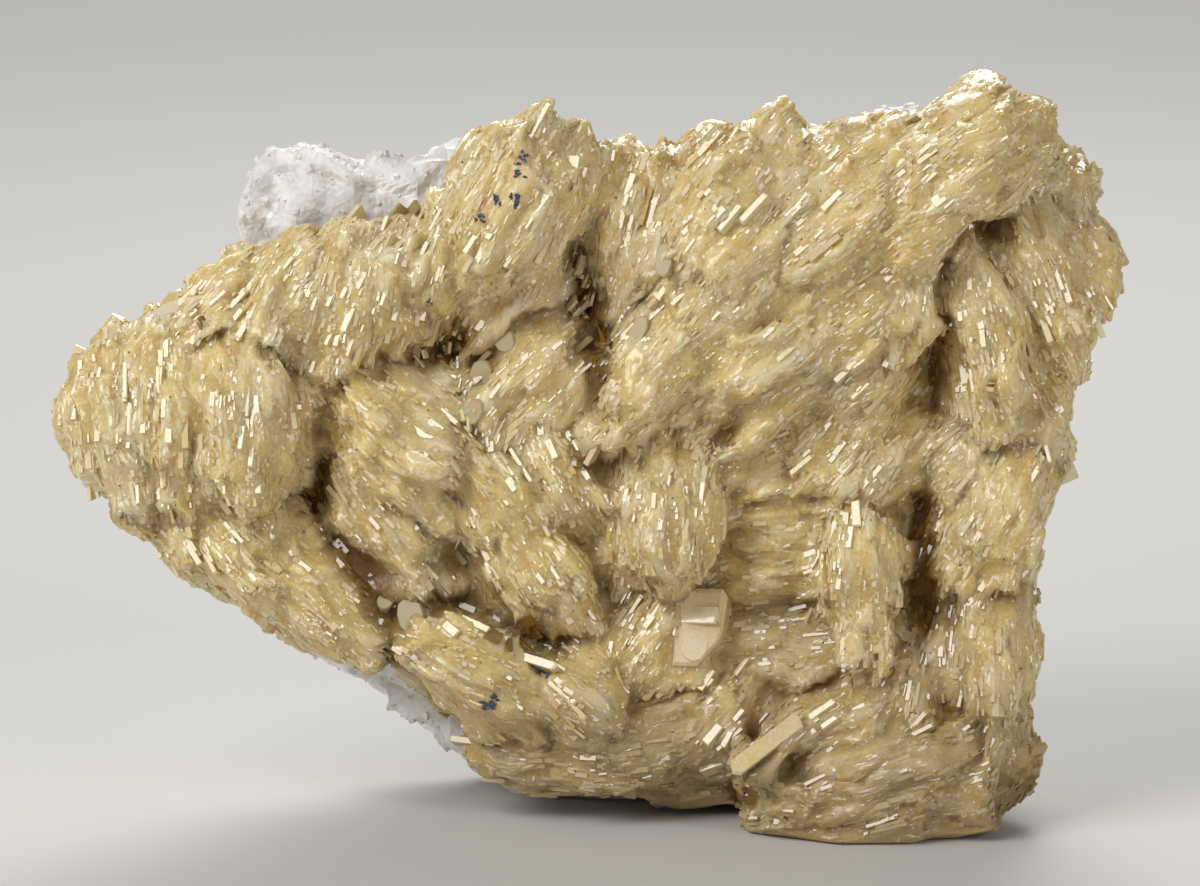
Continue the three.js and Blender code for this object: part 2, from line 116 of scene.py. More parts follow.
# The fans of blades, by the piece they share and the mass they have grown into. Each row is a fan: its
# middle across, its rise and how far its crest stands out, the turn of its blades from level in degrees,
# and its half sizes along the blades, across them and out of the face.
FANS = {
    "left": {
        "far_lobe": [
            (-40.6, 35.2, 5.5, 98, 9, 4, 7),
            (-29.5, 36.6, 9, 96, 7.5, 5.3, 8),
            (-36.1, 36.2, 6.5, 95, 7.5, 3.5, 6),
        ],
        "upper_row": [
            (-31.9, 46, 3, 48, 6.2, 4, 7),
            (-25.9, 46.8, 4.5, 60, 5.8, 4.5, 7),
            (-20.8, 46.6, 4.5, 75, 6.2, 4, 7),
            (-16.4, 47.8, 4, 78, 5.2, 3.4, 6),
        ],
        "lower_slope": [
            (-35.3, 25.9, 3.5, 120, 5.6, 3.6, 6),
            (-38.8, 29, 3, 105, 3.8, 2.8, 6),
            (-28.9, 24, 5, 132, 7.6, 4.6, 7),
            (-23, 21.3, 5.5, 138, 6.2, 3.6, 7),
            (-28, 27.2, 4.5, 140, 7, 3.4, 7),
        ],
    },
    "middle": {
        "knob": [
            (-13, 50.4, 4, 75, 5, 3, 6),
            (-6.1, 54.3, 8, 62, 8.2, 5.5, 8),
        ],
        "upper_fan": [
            (-15.7, 34.6, 6.5, 140, 8.6, 4.6, 8),
        ],
        "slanting_fans": [
            (-9.4, 30.3, 5.5, 128, 7, 4, 7),
            (-5.1, 24.7, 6, 125, 7, 4, 7),
            (-17.4, 27.3, 4.5, 130, 7.5, 3.8, 7),
        ],
        "pocket_fans": [
            (-3.8, 40, 3.5, 45, 7, 4, 7),
            (-7.7, 37, 2, 60, 5, 2.5, 5),
            (-2.6, 32, 4.5, 120, 6, 2.8, 6),
        ],
        "centre_fan": [
            (6.8, 28.6, 8, 90, 6.3, 4.6, 8),
            (2.6, 27.7, 5.5, 88, 5.4, 1.9, 7),
        ],
    },
    "crown": {
        "inner_edge": [
            (4.3, 50.5, 5, 80, 7.8, 2.5, 8),
            (1.7, 54.2, 2, 80, 4.6, 3, 7),
        ],
        "sweep": [
            (12.3, 51.8, 9, 50, 9.6, 6.6, 10),
            (20.4, 53.2, 9, 40, 9.6, 5, 10),
            (26, 56, 8.5, 40, 6.6, 3.6, 9),
            (32.6, 58.1, 10.5, 35, 7.1, 4.8, 9),
            (28, 52.4, 9, 38, 7, 3.3, 8),
            (6.4, 41.7, 7, 48, 8, 4.8, 8),
            (14.5, 44.7, 8, 40, 10, 5, 9),
            (21.3, 45.8, 7.5, 38, 8.6, 5, 9),
            (26.6, 46.4, 8, 82, 5.8, 2.4, 7),
        ],
        "face": [
            (16.2, 39.4, 5.5, 35, 9, 3.8, 8),
            (23, 40.3, 5, 42, 6.6, 3.8, 8),
            (20.8, 34.5, 6, 48, 6.4, 2.8, 7),
            (25.5, 32.4, 4.5, 50, 6, 2.8, 7),
            (14.5, 33.7, 3, 30, 7, 3.3, 6),
            (31, 33.9, 4.5, 48, 5, 2.6, 7),
        ],
    },
    "right": {
        "upright": [
            (33.6, 43.2, 7, 104, 10, 4, 9),
            (39.4, 47.9, 6, 113, 9, 4, 8),
            (37.8, 38.3, 6, 118, 6.6, 3, 8),
        ],
        "corner": [
            (41, 57, 2.5, 85, 2.7, 1.5, 5),
        ],
        "shoulder": [
            (34.9, 29.4, 7, 62, 8.8, 4.6, 9),
            (31.3, 25.2, 5.5, 70, 6, 3, 8),
        ],
        "leg": [
            (34, 15, 7.5, 92, 8.6, 3.6, 9),
            (30.4, 16.7, 6, 90, 8.6, 2.8, 8),
            (34.9, 7.6, 8, 80, 4.8, 2.8, 8),
        ],
        "free_blade": [
            (23.1, 23.5, 9.5, 92, 7.5, 3, 8),
            (23.4, 17.5, 8.5, 92, 3.8, 1.9, 6),
        ],
    },
    "foot": {
        "base": [
            (23.8, 4.3, 12, 15, 9.6, 4.4, 10),
            (31, 5.4, 11, 20, 6.6, 4.2, 10),
            (17.9, 4.6, 10, 168, 5.4, 2.7, 9),
            (26.4, 8.1, 10.5, 18, 8, 3.4, 10),
            (20.8, 12, 9.5, 33, 7.6, 2.4, 9),
            (22.6, 9, 9.5, 30, 6.6, 2.8, 9),
            (28, 11.9, 8, 85, 5.8, 3, 8),
        ],
        "shelves": [
            (16.2, 28.6, 3, 5, 7, 3, 7),
            (16.2, 23.5, 4, 8, 6, 2.7, 7),
            (17.6, 16.7, 4, 5, 6.6, 2.8, 7),
            (5.1, 16.7, 4, 60, 7, 4, 7),
        ],
        "left_foot": [
            (-9.4, 14.5, 8, 150, 9.2, 4.6, 8),
            (-0.9, 12.6, 7, 140, 6, 4.3, 8),
            (-2.2, 8.4, 5.5, 175, 8.6, 3.3, 8),
            (4.3, 10, 6.5, 10, 6, 3, 8),
            (8.3, 6.4, 3.5, 5, 5.2, 2.4, 8),
            (11.1, 10.6, 6.5, 50, 5, 2.8, 8),
        ],
    },
}

# Where the outline of the finished specimen is fuller or leaner than its solid: middle across and rise,
# reach, and the move across and up, all in millimetres.
CRUST_SHIFTS = [
    (25.6, 59.6, 7.5, 0, 1.4),
    (32.8, 62.5, 3.5, 0, 1.4),
    (38.2, 62.0, 3.5, 0, -3.0),
    (17.5, 60.3, 4, 0, 1.8),
    (-7.2, 58.0, 3.5, -0.8, 1.6),
    (-42.8, 28.6, 4, 0.9, 0.3),
    (9.5, 59.5, 4.5, 0, 3.2),
    (-0.6, 59.8, 2.5, 0, -0.5),
    (1.5, 57.0, 2.5, 0, 1.2),
    (43.5, 52.0, 5, 1.6, 0.3),
    (44.5, 39.5, 5, -1.4, 0),
    (45.0, 43.0, 3, -1.0, 0),
    (42.6, 31.2, 6, -1.3, 0),
    (38.5, 22.0, 4.5, 1.9, 0),
    (-44.0, 38.0, 4, -0.7, 0),
    (-40.5, 24.0, 7, 0.8, 1.3),
    (-34.5, 19.0, 7, 0.5, 1.0),
]
ROCK_SHIFTS = [
    (-25.5, 54.0, 6, 0, 4.6),
    (-18.5, 58.0, 4, 0, -1.5),
    (-13.0, 56.0, 5, 0, 1.2),
    (29.5, 60.5, 6, 0, 2.4),
]

# Hollows between the fans, sunk and darkened with painted shade: middle across and rise, turn from level
# in degrees, half length, half width, depth, and how dark its painted shade is, from 0 to 1.
HOLLOWS = [
    (-12.6, 42.6, 20, 3.6, 1.8, 0.5, 0.8),
    (-9.0, 41.0, 70, 2.6, 1.4, 0.3, 0.5),
    (0.2, 45.2, 100, 5.6, 1.9, 1.3, 0.85),
    (1.4, 40.0, 80, 3.8, 1.2, 0.3, 0.7),
    (-22.9, 30.8, 75, 3.4, 1.5, 1.2, 0.9),
    (-19.2, 23.6, 128, 5.2, 1.7, 1.0, 0.8),
    (29.6, 42.0, 88, 6.0, 0.9, 1.2, 0.9),
    (28.2, 24.0, 88, 7.8, 1.1, 1.2, 0.9),
    (11.7, 35.3, 50, 2.6, 0.9, 0.4, 0.7),
    (5.5, 22.5, 60, 1.4, 0.8, 0.3, 0.7),
    (12.9, 4.2, 60, 1.2, 0.7, 0.8, 0.9),
    (33.8, 52.6, 20, 4.2, 0.9, 0.8, 0.6),
    (30.5, 49.6, 60, 3.0, 0.8, 0.6, 0.6),
    (17.5, 20.3, 5, 5.0, 0.8, 0.5, 0.5),
    (-14.5, 16.2, 20, 3.0, 0.9, 0.4, 0.5),
]

# Outlines of large crystals, seen flat: the length runs right and is 1, and so is the width.
CRYSTAL_OUTLINES = {
    "tablet": [
        (-0.44, 0.31), (-0.29, 0.4), (-0.02, 0.51), (0.44, 0.5), (0.52, 0.39),
        (0.44, -0.03), (0.33, -0.21), (-0.04, -0.49), (-0.48, -0.49),
    ],
    "bar": [
        (-0.5, -0.2), (-0.47, 0.25), (-0.42, 0.5), (0.46, 0.46), (0.5, 0.1), (0.47, -0.5), (-0.44, -0.5),
    ],
    "rod": [(-0.5, -0.5), (-0.48, 0.5), (0.46, 0.5), (0.5, -0.4)],
    "round": [
        (-0.5, -0.12), (-0.45, 0.22), (-0.24, 0.45), (0.08, 0.5), (0.36, 0.4), (0.5, 0.12),
        (0.46, -0.2), (0.26, -0.44), (-0.04, -0.5), (-0.34, -0.4),
    ],
}
# Large single crystals: outline, middle across and rise, turn from level in degrees, length, width, how far
# it stands proud of the crust, and its lean from the viewer to the right and up, in degrees. Most plates
# lean the way that the blade tips look.
TIP_LEAN = (-17, 31)
LARGE_CRYSTALS = {
    "amber_bar": ("bar", 14.9, 8.9, 37, 7.4, 1.5, 0.9, -12, 14),
    "square_tablet": ("tablet", 9.6, 18.4, 0, 4.8, 6.6, 2.5, -9, 14),
    "long_plate": ("bar", -5.0, 15.9, 158, 5.2, 0.75, 0.4, *TIP_LEAN),
    "short_plate": ("rod", -11.7, 18.5, 135, 1.6, 0.8, 0.4, *TIP_LEAN),
    "upright_plate": ("rod", 22.5, 28.3, 92, 2.4, 0.8, 0.35, *TIP_LEAN),
    "pair_plate_left": ("rod", 10.5, 9.5, 47, 2.1, 0.8, 0.35, *TIP_LEAN),
    "pair_plate_right": ("rod", 11.7, 9.1, 58, 1.6, 0.5, 0.35, *TIP_LEAN),
    "small_plate": ("rod", 12.7, 11.1, 47, 1.3, 0.45, 0.35, *TIP_LEAN),
    "leaning_plate": ("rod", 13.2, 15.4, 50, 2.6, 0.5, 0.35, *TIP_LEAN),
    "foot_plate": ("rod", 19.6, 11.8, 30, 2.7, 0.55, 0.35, *TIP_LEAN),
    "foot_plate_low": ("rod", 18.4, 9.6, 33, 1.7, 0.5, 0.35, *TIP_LEAN),
    "foot_plate_next": ("rod", 20.2, 10.7, 30, 1.6, 0.45, 0.35, *TIP_LEAN),
    "low_plate": ("rod", 10.4, 6.7, 12, 2.2, 0.6, 0.35, *TIP_LEAN),
    "crown_rod": ("rod", 11.7, 53.0, 46, 2.9, 0.55, 0.35, *TIP_LEAN),
    "crown_rod_upper": ("rod", 13.7, 53.8, 44, 3.3, 0.6, 0.35, *TIP_LEAN),
    "crown_rod_right": ("rod", 20.2, 54.4, 42, 2.4, 0.55, 0.35, *TIP_LEAN),
}
# How pale the large crystals and the plates on the square one are, where about 0.3 is honey and 1 is cream.
CRYSTAL_TONE = 0.6
PLATE_TONE = 1.0
# Smaller plates grown on the square tablet, given in the same way from the middle of its face.
TABLET_PLATES = {
    "band": ("bar", 0.0, 1.1, -5, 3.7, 1.6, 0.25, -14, 13),
    "right_edge": ("rod", 1.85, 1.6, 82, 2.6, 0.25, 0.2, -14, 13),
    "left_edge": ("rod", -1.95, 0.9, 88, 3.4, 0.25, 0.2, -14, 13),
    "top_edge": ("rod", -0.9, 2.75, 28, 1.6, 0.2, 0.15, -14, 13),
    "low_plate": ("round", -0.3, -1.5, 70, 2.9, 2.4, 0.12, 2, 4),
}
# Paler, clearer crystals, given in the same way as the large ones.
CLEAR_CRYSTALS = {
    "upper_left_plate": ("round", -36.2, 44.6, 40, 4.6, 2.4, 0.2, -8, 30),
    "lower_left_block": ("round", -15.3, 19.6, 100, 3.4, 2.4, 0.1, -10, 16),
    "lower_left_small": ("round", -17.4, 21.0, 60, 2.0, 1.4, 0.1, 6, 30),
    "pocket_broad": ("round", -9.3, 39.9, 80, 3.0, 2.1, 0.1, -14, 6),
    "pocket_upper": ("round", -7.4, 43.2, 120, 2.8, 2.0, 0.1, -20, 10),
    "pocket_low": ("round", -9.9, 36.9, 60, 2.4, 1.7, 0.1, -24, 0),
    "crown_plate": ("round", 6.2, 49.6, 80, 3.0, 1.5, 0.1, -18, 12),
    "face_plate": ("round", 3.9, 43.4, 62, 3.6, 1.4, 0.1, -16, 14),
}

# Outlines of single blades and of larger plates, seen flat: the length is 1, the edge that shows is at the
# top and the root is one below it.
OUTLINES = {
    "blade_outlines": [
        [(-0.5, 0), (0.5, 0), (0.42, -1), (-0.42, -1)],
        [(-0.5, -0.1), (-0.42, 0), (0.5, 0), (0.1, -1)],
        [(-0.5, 0), (0.5, 0), (0.15, -1)],
    ],
    "plate_outlines": [
        [(-0.5, -0.08), (-0.46, 0), (0.46, 0), (0.5, -0.1), (0.45, -1), (-0.45, -1)],
        [(-0.5, -0.04), (-0.48, 0), (0.42, 0), (0.5, -0.16), (0.45, -1), (-0.45, -1)],
    ],
}
# The blades that grow on each part of the crust: small ones, rods whose ends flash, then larger plates.
# Crowding, length and thickness are shares of the settings', the longest is over the usual length, heights
# are in millimetres, the pull is towards the way that tips look, and angles are in degrees.
BLADE_KINDS = [
    {
        "Where": "crowd", "Outlines": "blade_outlines", "Seed": 0, "Crowding": 1.1, "Length": 0.55,
        "Longest": 1.7, "Thickness": 0.8, "Lowest": -0.1, "Highest": 0.1, "Book Step": 0.1, "Pull": 0.3,
        "Lean": 16, "Swing": 8,
    },
    {
        "Where": "glints", "Outlines": "plate_outlines", "Seed": 900, "Crowding": 0.48, "Length": 0.5,
        "Longest": 1.8, "Thickness": 0.5, "Lowest": 0.0, "Highest": 0.1, "Book Step": 0.05, "Pull": 3.0,
        "Lean": 14, "Swing": 9,
    },
    {
        "Where": "glints", "Outlines": "plate_outlines", "Seed": 500, "Crowding": 0.13, "Length": 1.1,
        "Longest": 2.2, "Thickness": 1.05, "Lowest": 0.0, "Highest": 0.12, "Book Step": 0.05, "Pull": 4.0,
        "Lean": 10, "Swing": 7,
    },
]
# What the tree of the blades is given, by the kind of socket.
BLADE_INPUTS = {
    "NodeSocketInt": ["Region", "Kinds", "Seed"],
    "NodeSocketString": ["Where"],
    "NodeSocketCollection": ["Blades"],
    "NodeSocketFloat": [
        "Crowding", "Length", "Longest", "Thickness", "Depth", "Lowest", "Highest", "Book Step", "Pull",
        "Lean", "Swing",
    ],
    "NodeSocketVector": ["Facing"],
    "NodeSocketMaterial": ["Material"],
}
# What the crust tells the blades at each point.
BED_VALUES = {
    "region": "INT",
    "lane": "FLOAT_VECTOR",
    "along": "FLOAT_VECTOR",
    "up": "FLOAT_VECTOR",
    "front": "FLOAT",
}
# What is drawn for each blade: the least and the most, and what is added to the seed for it.
BLADE_DRAWS = {
    "size": (0.0, 1.0, 1),
    "thickness": (0.65, 1.5, 2),
    "depth": (0.85, 1.15, 3),
    "rise": (0.0, 1.0, 4),
    "lean": (0.0, 1.0, 5),
    "swing": (0.0, 1.0, 7),
    "turn": (0.0, 1.0, 9),
    "tone": (0.0, 1.0, 12),
}
SUGAR_INPUTS = {
    "NodeSocketCollection": ["Grain"],
    "NodeSocketFloat": ["Crowding", "Size"],
    "NodeSocketInt": ["Seed"],
    "NodeSocketMaterial": ["Material"],
}
# The lamps: place and size in millimetres, and power in watts.
LAMPS = {
    "key_light": ((-265, -235, 300), 260, 1.25),
    "right_light": ((420, -420, 260), 180, 0.75),
    "back_light": ((60, 330, 420), 260, 0.9),
    "background_light": ((0, 900, 700), 600, 4.0),
}
# The middle of the picture, as the face is seen, and how far the floor reaches each way, in metres.
AIM = (0.85, 34.3, 0)
FLOOR_REACH = 3.0
# A full turn, in radians.
FULL_TURN = 6.28
# How bright the studio is all round.
STUDIO_LIGHT = 0.19


def linear(hex_colour):
    """The linear colour of an sRGB hex value."""
    parts = [int(hex_colour[i : i + 2], 16) / 255 for i in (1, 3, 5)]
    return tuple(p / 12.92 if p <= 0.04045 else ((p + 0.055) / 1.055) ** 2.4 for p in parts)


def seen(across, rise, out):
    """The place, in metres, of something measured on the crystal face."""
    height = (rise - FLOOR_RISE + out * math.sin(VIEW_TILT)) / math.cos(VIEW_TILT)
    return Vector((across, CENTRE_OUT - out, height)) * MM


def add_node(tree, kind, inputs=(), **settings):
    """Adds a node, sets its properties, and sets or links its inputs, which are given in order, or by name
    or number. Returns its outputs."""
    node = tree.nodes.new(kind)
    for name, value in settings.items():
        setattr(node, name, value)
    for key, value in inputs.items() if isinstance(inputs, dict) else enumerate(inputs):
        if isinstance(value, bpy.types.NodeSocket):
            tree.links.new(value, node.inputs[key])
        else:
            node.inputs[key].default_value = value
    return node.outputs


def unit(vectors):
    """Vectors that point the same way, each 1 long."""
    return vectors / (np.linalg.norm(vectors, axis=1, keepdims=True) + 1e-9)


def ramp(values, start, width, least=0):
    """Rises evenly from 0 at a start to 1 a width past it, and is never less than the least."""
    return np.clip((values - start) / width, least, 1)


def coordinates(mesh):
    """The places of a mesh's points, in metres."""
    values = np.empty(len(mesh.vertices) * 3)
    mesh.vertices.foreach_get("co", values)
    return values.reshape(-1, 3)


def normals(mesh):
    """The way that a mesh faces at its points."""
    values = np.empty(len(mesh.vertices) * 3)
    mesh.vertices.foreach_get("normal", values)
    return values.reshape(-1, 3)


def move_points(mesh, places):
    """Puts a mesh's points in new places, in metres."""
    mesh.vertices.foreach_set("co", places.ravel())
    mesh.update()


@contextmanager
def reworked(mesh):
    """A bmesh of a mesh, which is put back into it at the end."""
    shape = bmesh.new()
    shape.from_mesh(mesh)
    yield shape
    shape.to_mesh(mesh)
    shape.free()
    mesh.update()


def soften(mesh, rounds):
    """Evens out a mesh's points, a number of times."""
    axes = {"use_axis_x": True, "use_axis_y": True, "use_axis_z": True}
    with reworked(mesh) as shape:
        for _ in range(rounds):
            bmesh.ops.smooth_vert(shape, verts=shape.verts, factor=0.5, **axes)


def keep_values(mesh, name, values, kind="FLOAT", domain="POINT"):
    """Keeps a number or a vector on each point or face of a mesh, as a named attribute."""
    attribute = mesh.attributes.new(name, kind, domain)
    field = "vector" if kind == "FLOAT_VECTOR" else "value"
    attribute.data.foreach_set(field, np.asarray(values).ravel())


def evaluated(thing, name):
    """A plain mesh of an object as its modifiers leave it."""
    depsgraph = bpy.context.evaluated_depsgraph_get()
    mesh = bpy.data.meshes.new_from_object(thing.evaluated_get(depsgraph), depsgraph=depsgraph)
    mesh.name = name
    return mesh


def new_object(name, data):
    """A new object in the scene, at the origin."""
    thing = bpy.data.objects.new(name, data)
    bpy.context.scene.collection.objects.link(thing)
    return thing


def face_places(places):
    """How far across and how high on the crystal face places in millimetres are seen, and how far out."""
    out = CENTRE_OUT - places[:, 1]
    rise = places[:, 2] * math.cos(VIEW_TILT) - out * math.sin(VIEW_TILT) + FLOOR_RISE
    return places[:, 0], rise, out


def mesh_from(shape, name):
    """A new object from a bmesh, which is used up, with its faces outwards."""
    bmesh.ops.recalc_face_normals(shape, faces=shape.faces)
    mesh = bpy.data.meshes.new(name)
    shape.to_mesh(mesh)
    shape.free()
    return new_object(name, mesh)


def finished(thing, material, slot, *nodes):
    """Gives a piece its material and says what it rides on and stands for."""
    if material is not None:
        thing.data.materials.clear()
        thing.data.materials.append(material)
    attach(thing, "root")
    if nodes:
        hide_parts(*nodes)


def remeshed(node, name, voxel, filled, rounds):
    """A fine, even mesh over a CAD node's shape, with the creases narrower than a ball of the filled radius
    filled up, smoothed a number of rounds. The node is left as it is."""
    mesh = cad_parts[node].data.copy()
    with reworked(mesh) as shape:
        bmesh.ops.remove_doubles(shape, verts=shape.verts, dist=1e-6)
    mesh.materials.clear()
    thing = new_object(name, mesh)
    for swell in (filled, -filled):
        remesh = thing.modifiers.new("Even mesh", "REMESH")
        remesh.mode = "VOXEL"
        remesh.voxel_size = voxel
        smooth = thing.modifiers.new("Rounded", "SMOOTH")
        smooth.factor = 0.5
        smooth.iterations = rounds
        push = thing.modifiers.new("Swell", "DISPLACE")
        push.mid_level = 0
        push.strength = swell
    fine = evaluated(thing, name)
    thing.modifiers.clear()
    thing.data = fine
    return thing


def turbulence(places, scale, seed):
    """Smooth noise of a size in millimetres, about -1 to 1."""
    shift = Vector((seed * 7.31, seed * 3.17, seed * 5.77))
    return np.array([noise.noise(Vector(place) / scale + shift) for place in places])


def wandering(places, scale, seed):
    """Smooth noise of a size in millimetres, as vectors of about -1 to 1."""
    return np.stack([turbulence(places, scale, seed + direction) for direction in (20, 40, 60)], axis=1)


def blocks(places, scale, seed):
    """A number from -1 to 1 for each place, the same all over a block of a size in millimetres."""
    shift = Vector((seed * 5.13, seed * 2.71, seed * 8.37))
    values = []
    for place in places:
        middle = noise.voronoi(Vector(place) / scale + shift)[1][0]
        values.append(2 * noise.cell(middle * CELL_SPREAD) - 1)
    return np.array(values)


def facets(places, scale, seed):
    """How far broken faces of a size in millimetres, each with its own tilt, stand out, in millimetres."""
    shift = Vector((seed * 3.31, seed * 6.17, seed * 1.93))
    values = []
    for place in places:
        spot = Vector(place) / scale + shift
        middle = noise.voronoi(spot)[1][0]
        tilt = noise.cell_vector(middle * CELL_SPREAD) - Vector((0.5, 0.5, 0.5))
        values.append((spot - middle).dot(tilt) * scale)
    return np.array(values)


# The relief along the blades: its pattern, the size of its forms along the blades, across them and out of
# the face, and their height, in millimetres, its seed, and how far the pattern shifts from fan to fan.
BLADE_RELIEF = {
    "ridges": (turbulence, (6.0, 1.6, 4.0), 0.3, 1, 1.0),
    "ribs": (turbulence, (2.2, 0.7, 1.2), 0.22, 6, 1.0),
    "books": (blocks, (3.6, 1.1, 2.4), 0.28, 7, 3.7),
}
# How far the whole crust swells out, in millimetres, and the waves in it: their size and height, in
# millimetres, and seed.
CRUST_SWELL = 0.4
CRUST_WAVES = [(6.5, 1.1, 2), (2.6, 0.35, 3)]
# The relief of the broken rock: its pattern, size and height, in millimetres, and seed.
ROCK_RELIEF = {
    "slabs": (facets, 6.5, 0.5, 3),
    "chips": (facets, 2.4, 0.9, 4),
    "lumps": (turbulence, 9.0, 0.6, 5),
}

# How blades lie at some places: the fan each place is on, where it is in that fan in millimetres, unit
# vectors along the blades and up them, and how near it is to an edge.
Lie = namedtuple("Lie", "fan lane along up brink")


class Field:
    """The lie of the blades over the crust, worked out from the fans."""

    def __init__(self):
        masses = [(region, mass) for region, group in enumerate(FANS.values()) for mass in group.values()]
        rows = [(region, *fan) for region, mass in masses for fan in mass]
        self.region = np.array([row[0] for row in rows])
        self.mass = np.repeat(np.arange(len(masses)), [len(mass) for _, mass in masses])
        turn = np.radians([row[4] for row in rows])
        places = [seen(row[1], row[2], row[3] - row[7]) for row in rows]
        self.middle = np.array(places) / MM
        self.along = np.stack([np.cos(turn), 0 * turn, np.sin(turn)], axis=1)
        self.out = np.tile([0.0, -1.0, 0.0], (len(rows), 1))
        self.across = np.cross(self.out, self.along)
        self.size = np.array([[row[5], row[6], row[7]] for row in rows])

    def measure(self, places):
        """The lie of the blades at places in millimetres. The nearness to an edge is about 1 on the brink
        of a mass, less on a fan's, and below 0 at the foot of one. Where fans meet, the blades turn from
        one fan's lie to the next."""
        ragged = places + RAGGED * wandering(places, 3.5, 9)
        fan = self.reach(ragged).argmin(axis=1)
        # A tooth is narrow across the blades, and runs 8 mm along them and 3 mm out of the face.
        bite = self.local(places, fan) / [8.0, TEETH[1], 3.0] + fan[:, None] * 3.1
        ragged += self.along[fan] * TEETH[0] * turbulence(bite, 1.0, 8)[:, None]
        reach = self.reach(ragged)
        fan = reach.argmin(axis=1)
        lane = self.local(places, fan)
        share = np.exp((reach.min(axis=1, keepdims=True) - reach) / FAN_BLEND)
        same_way = np.sign(self.along @ self.along.T)[fan]
        along = unit((share * same_way) @ self.along)
        spot = lane / self.size[fan]
        splay = self.along[fan] * spot[:, :1] + self.across[fan] * spot[:, 1:2]
        brink = np.zeros(len(places))
        for apart, width, height in (
            (self.mass[fan][:, None] != self.mass, MASS_EDGE, 1.0),
            (np.arange(len(self.mass)) != fan[:, None], FAN_EDGE, FAN_LIP),
        ):
            others = np.where(apart, reach, np.inf)
            gap = others.min(axis=1) - reach.min(axis=1)
            beyond = unit((self.middle[others.argmin(axis=1)] - places) * [1, 0, 1])
            brink += height * np.exp(-((gap / width) ** 2)) * (beyond @ DOWNHILL)
        return Lie(fan, lane, along, unit(self.out[fan] + FAN_SPLAY * splay), brink)

    def local(self, places, fan):
        """Places in their fans' own directions: along the blades, across them and out of the face."""
        axes = np.stack([self.along, self.across, self.out], axis=1)[fan]
        return np.einsum("...ij,...j->...i", axes, places - self.middle[fan])

    def reach(self, places):
        """How far each place is from each fan's middle, as a share of the fan's size."""
        shares = [self.local(places, fan) / self.size[fan] for fan in range(len(self.region))]
        return np.stack([np.linalg.norm(share, axis=1) for share in shares], axis=1)


FIELD = Field()


def openness(mesh, reach, rays, seed):
    """How open each point of a mesh is to what is round it, from 0 in a crevice to 1 on a crest."""
    places, facing = coordinates(mesh), normals(mesh)
    polygons = [tuple(polygon.vertices) for polygon in mesh.polygons]
    tree = BVHTree.FromPolygons([tuple(place) for place in places], polygons)
    chance = random.Random(seed)
    ways = []
    while len(ways) < rays:
        way = Vector([chance.uniform(-1, 1) for _ in range(3)])
        if 0.1 < way.length < 1:
            ways.append(way.normalized())
    open_share = np.zeros(len(places))
    for index, (place, normal) in enumerate(zip(places, facing)):
        normal = Vector(normal)
        # Rays start this far off the surface, so that they don't meet it at once.
        start = Vector(place) + normal * 0.15 * MM
        total = 0.0
        for way in ways:
            lean = (normal + way).normalized()
            hit = tree.ray_cast(start, lean, reach)
            total += 1.0 if hit[0] is None else (hit[3] / reach) ** 0.8 * 0.8
        open_share[index] = total / rays
    return open_share


def shifted(places, rows):
    """Places in millimetres after the outline's small shifts."""
    across, rise, _ = face_places(places)
    moved = places.copy()
    for middle_across, middle_rise, reach, right, up in rows:
        share = np.exp(-((across - middle_across) ** 2 + (rise - middle_rise) ** 2) / reach**2)
        moved += share[:, None] * [right, 0, up]
    return moved


def in_hollows(places, facing):
    """How deep each place is sunk by the hollows, and how much of its light it keeps."""
    across, rise, _ = face_places(places)
    sunk = np.zeros(len(places))
    light = np.ones(len(places))
    frontal = np.clip(0.5 - facing[:, 1], 0, 1)
    for middle_across, middle_rise, turn, long, wide, depth, dark in HOLLOWS:
        turn = math.radians(turn)
        right, up = across - middle_across, rise - middle_rise
        here = (right * math.cos(turn) + up * math.sin(turn)) / long
        there = (up * math.cos(turn) - right * math.sin(turn)) / wide
        inside = np.exp(-((here**2 + there**2) ** 1.5)) * frontal
        sunk += depth * inside
        # Painted shade: each hollow takes away some of the light that the colour keeps.
        light *= 1 - dark * inside
    return sunk, light


def hull(shape, points):
    """Adds the convex body round some points to a bmesh. Returns its corners."""
    made = [shape.verts.new(point) for point in points]
    skin = bmesh.ops.convex_hull(shape, input=made, use_existing_faces=False)
    spare = skin["geom_interior"] + skin["geom_unused"]
    loose = [item for item in spare if isinstance(item, bmesh.types.BMVert)]
    bmesh.ops.delete(shape, geom=list(set(loose)), context="VERTS")
    return [vert for vert in made if vert.is_valid]


def shard(shape, chance, middle, half, points):
    """Adds a broken angular bit inside a box, as the hull of random points."""
    made = []
    for _ in range(points):
        way = Vector([chance.gauss(0, 1) for _ in range(3)]).normalized() * chance.uniform(0.75, 1.0)
        made.append([m + w * h for m, w, h in zip(middle, way, half)])
    hull(shape, made)


def seen_on(tree, across, rise):
    """Where a line of sight from the front meets a mesh, given as a BVH tree."""
    sight = Vector((0, math.cos(VIEW_TILT), -math.sin(VIEW_TILT)))
    place = tree.ray_cast(seen(across, rise, 60), sight)[0]
    if place is None:
        raise RuntimeError(f"Nothing is seen at {across}, {rise}")
    return place


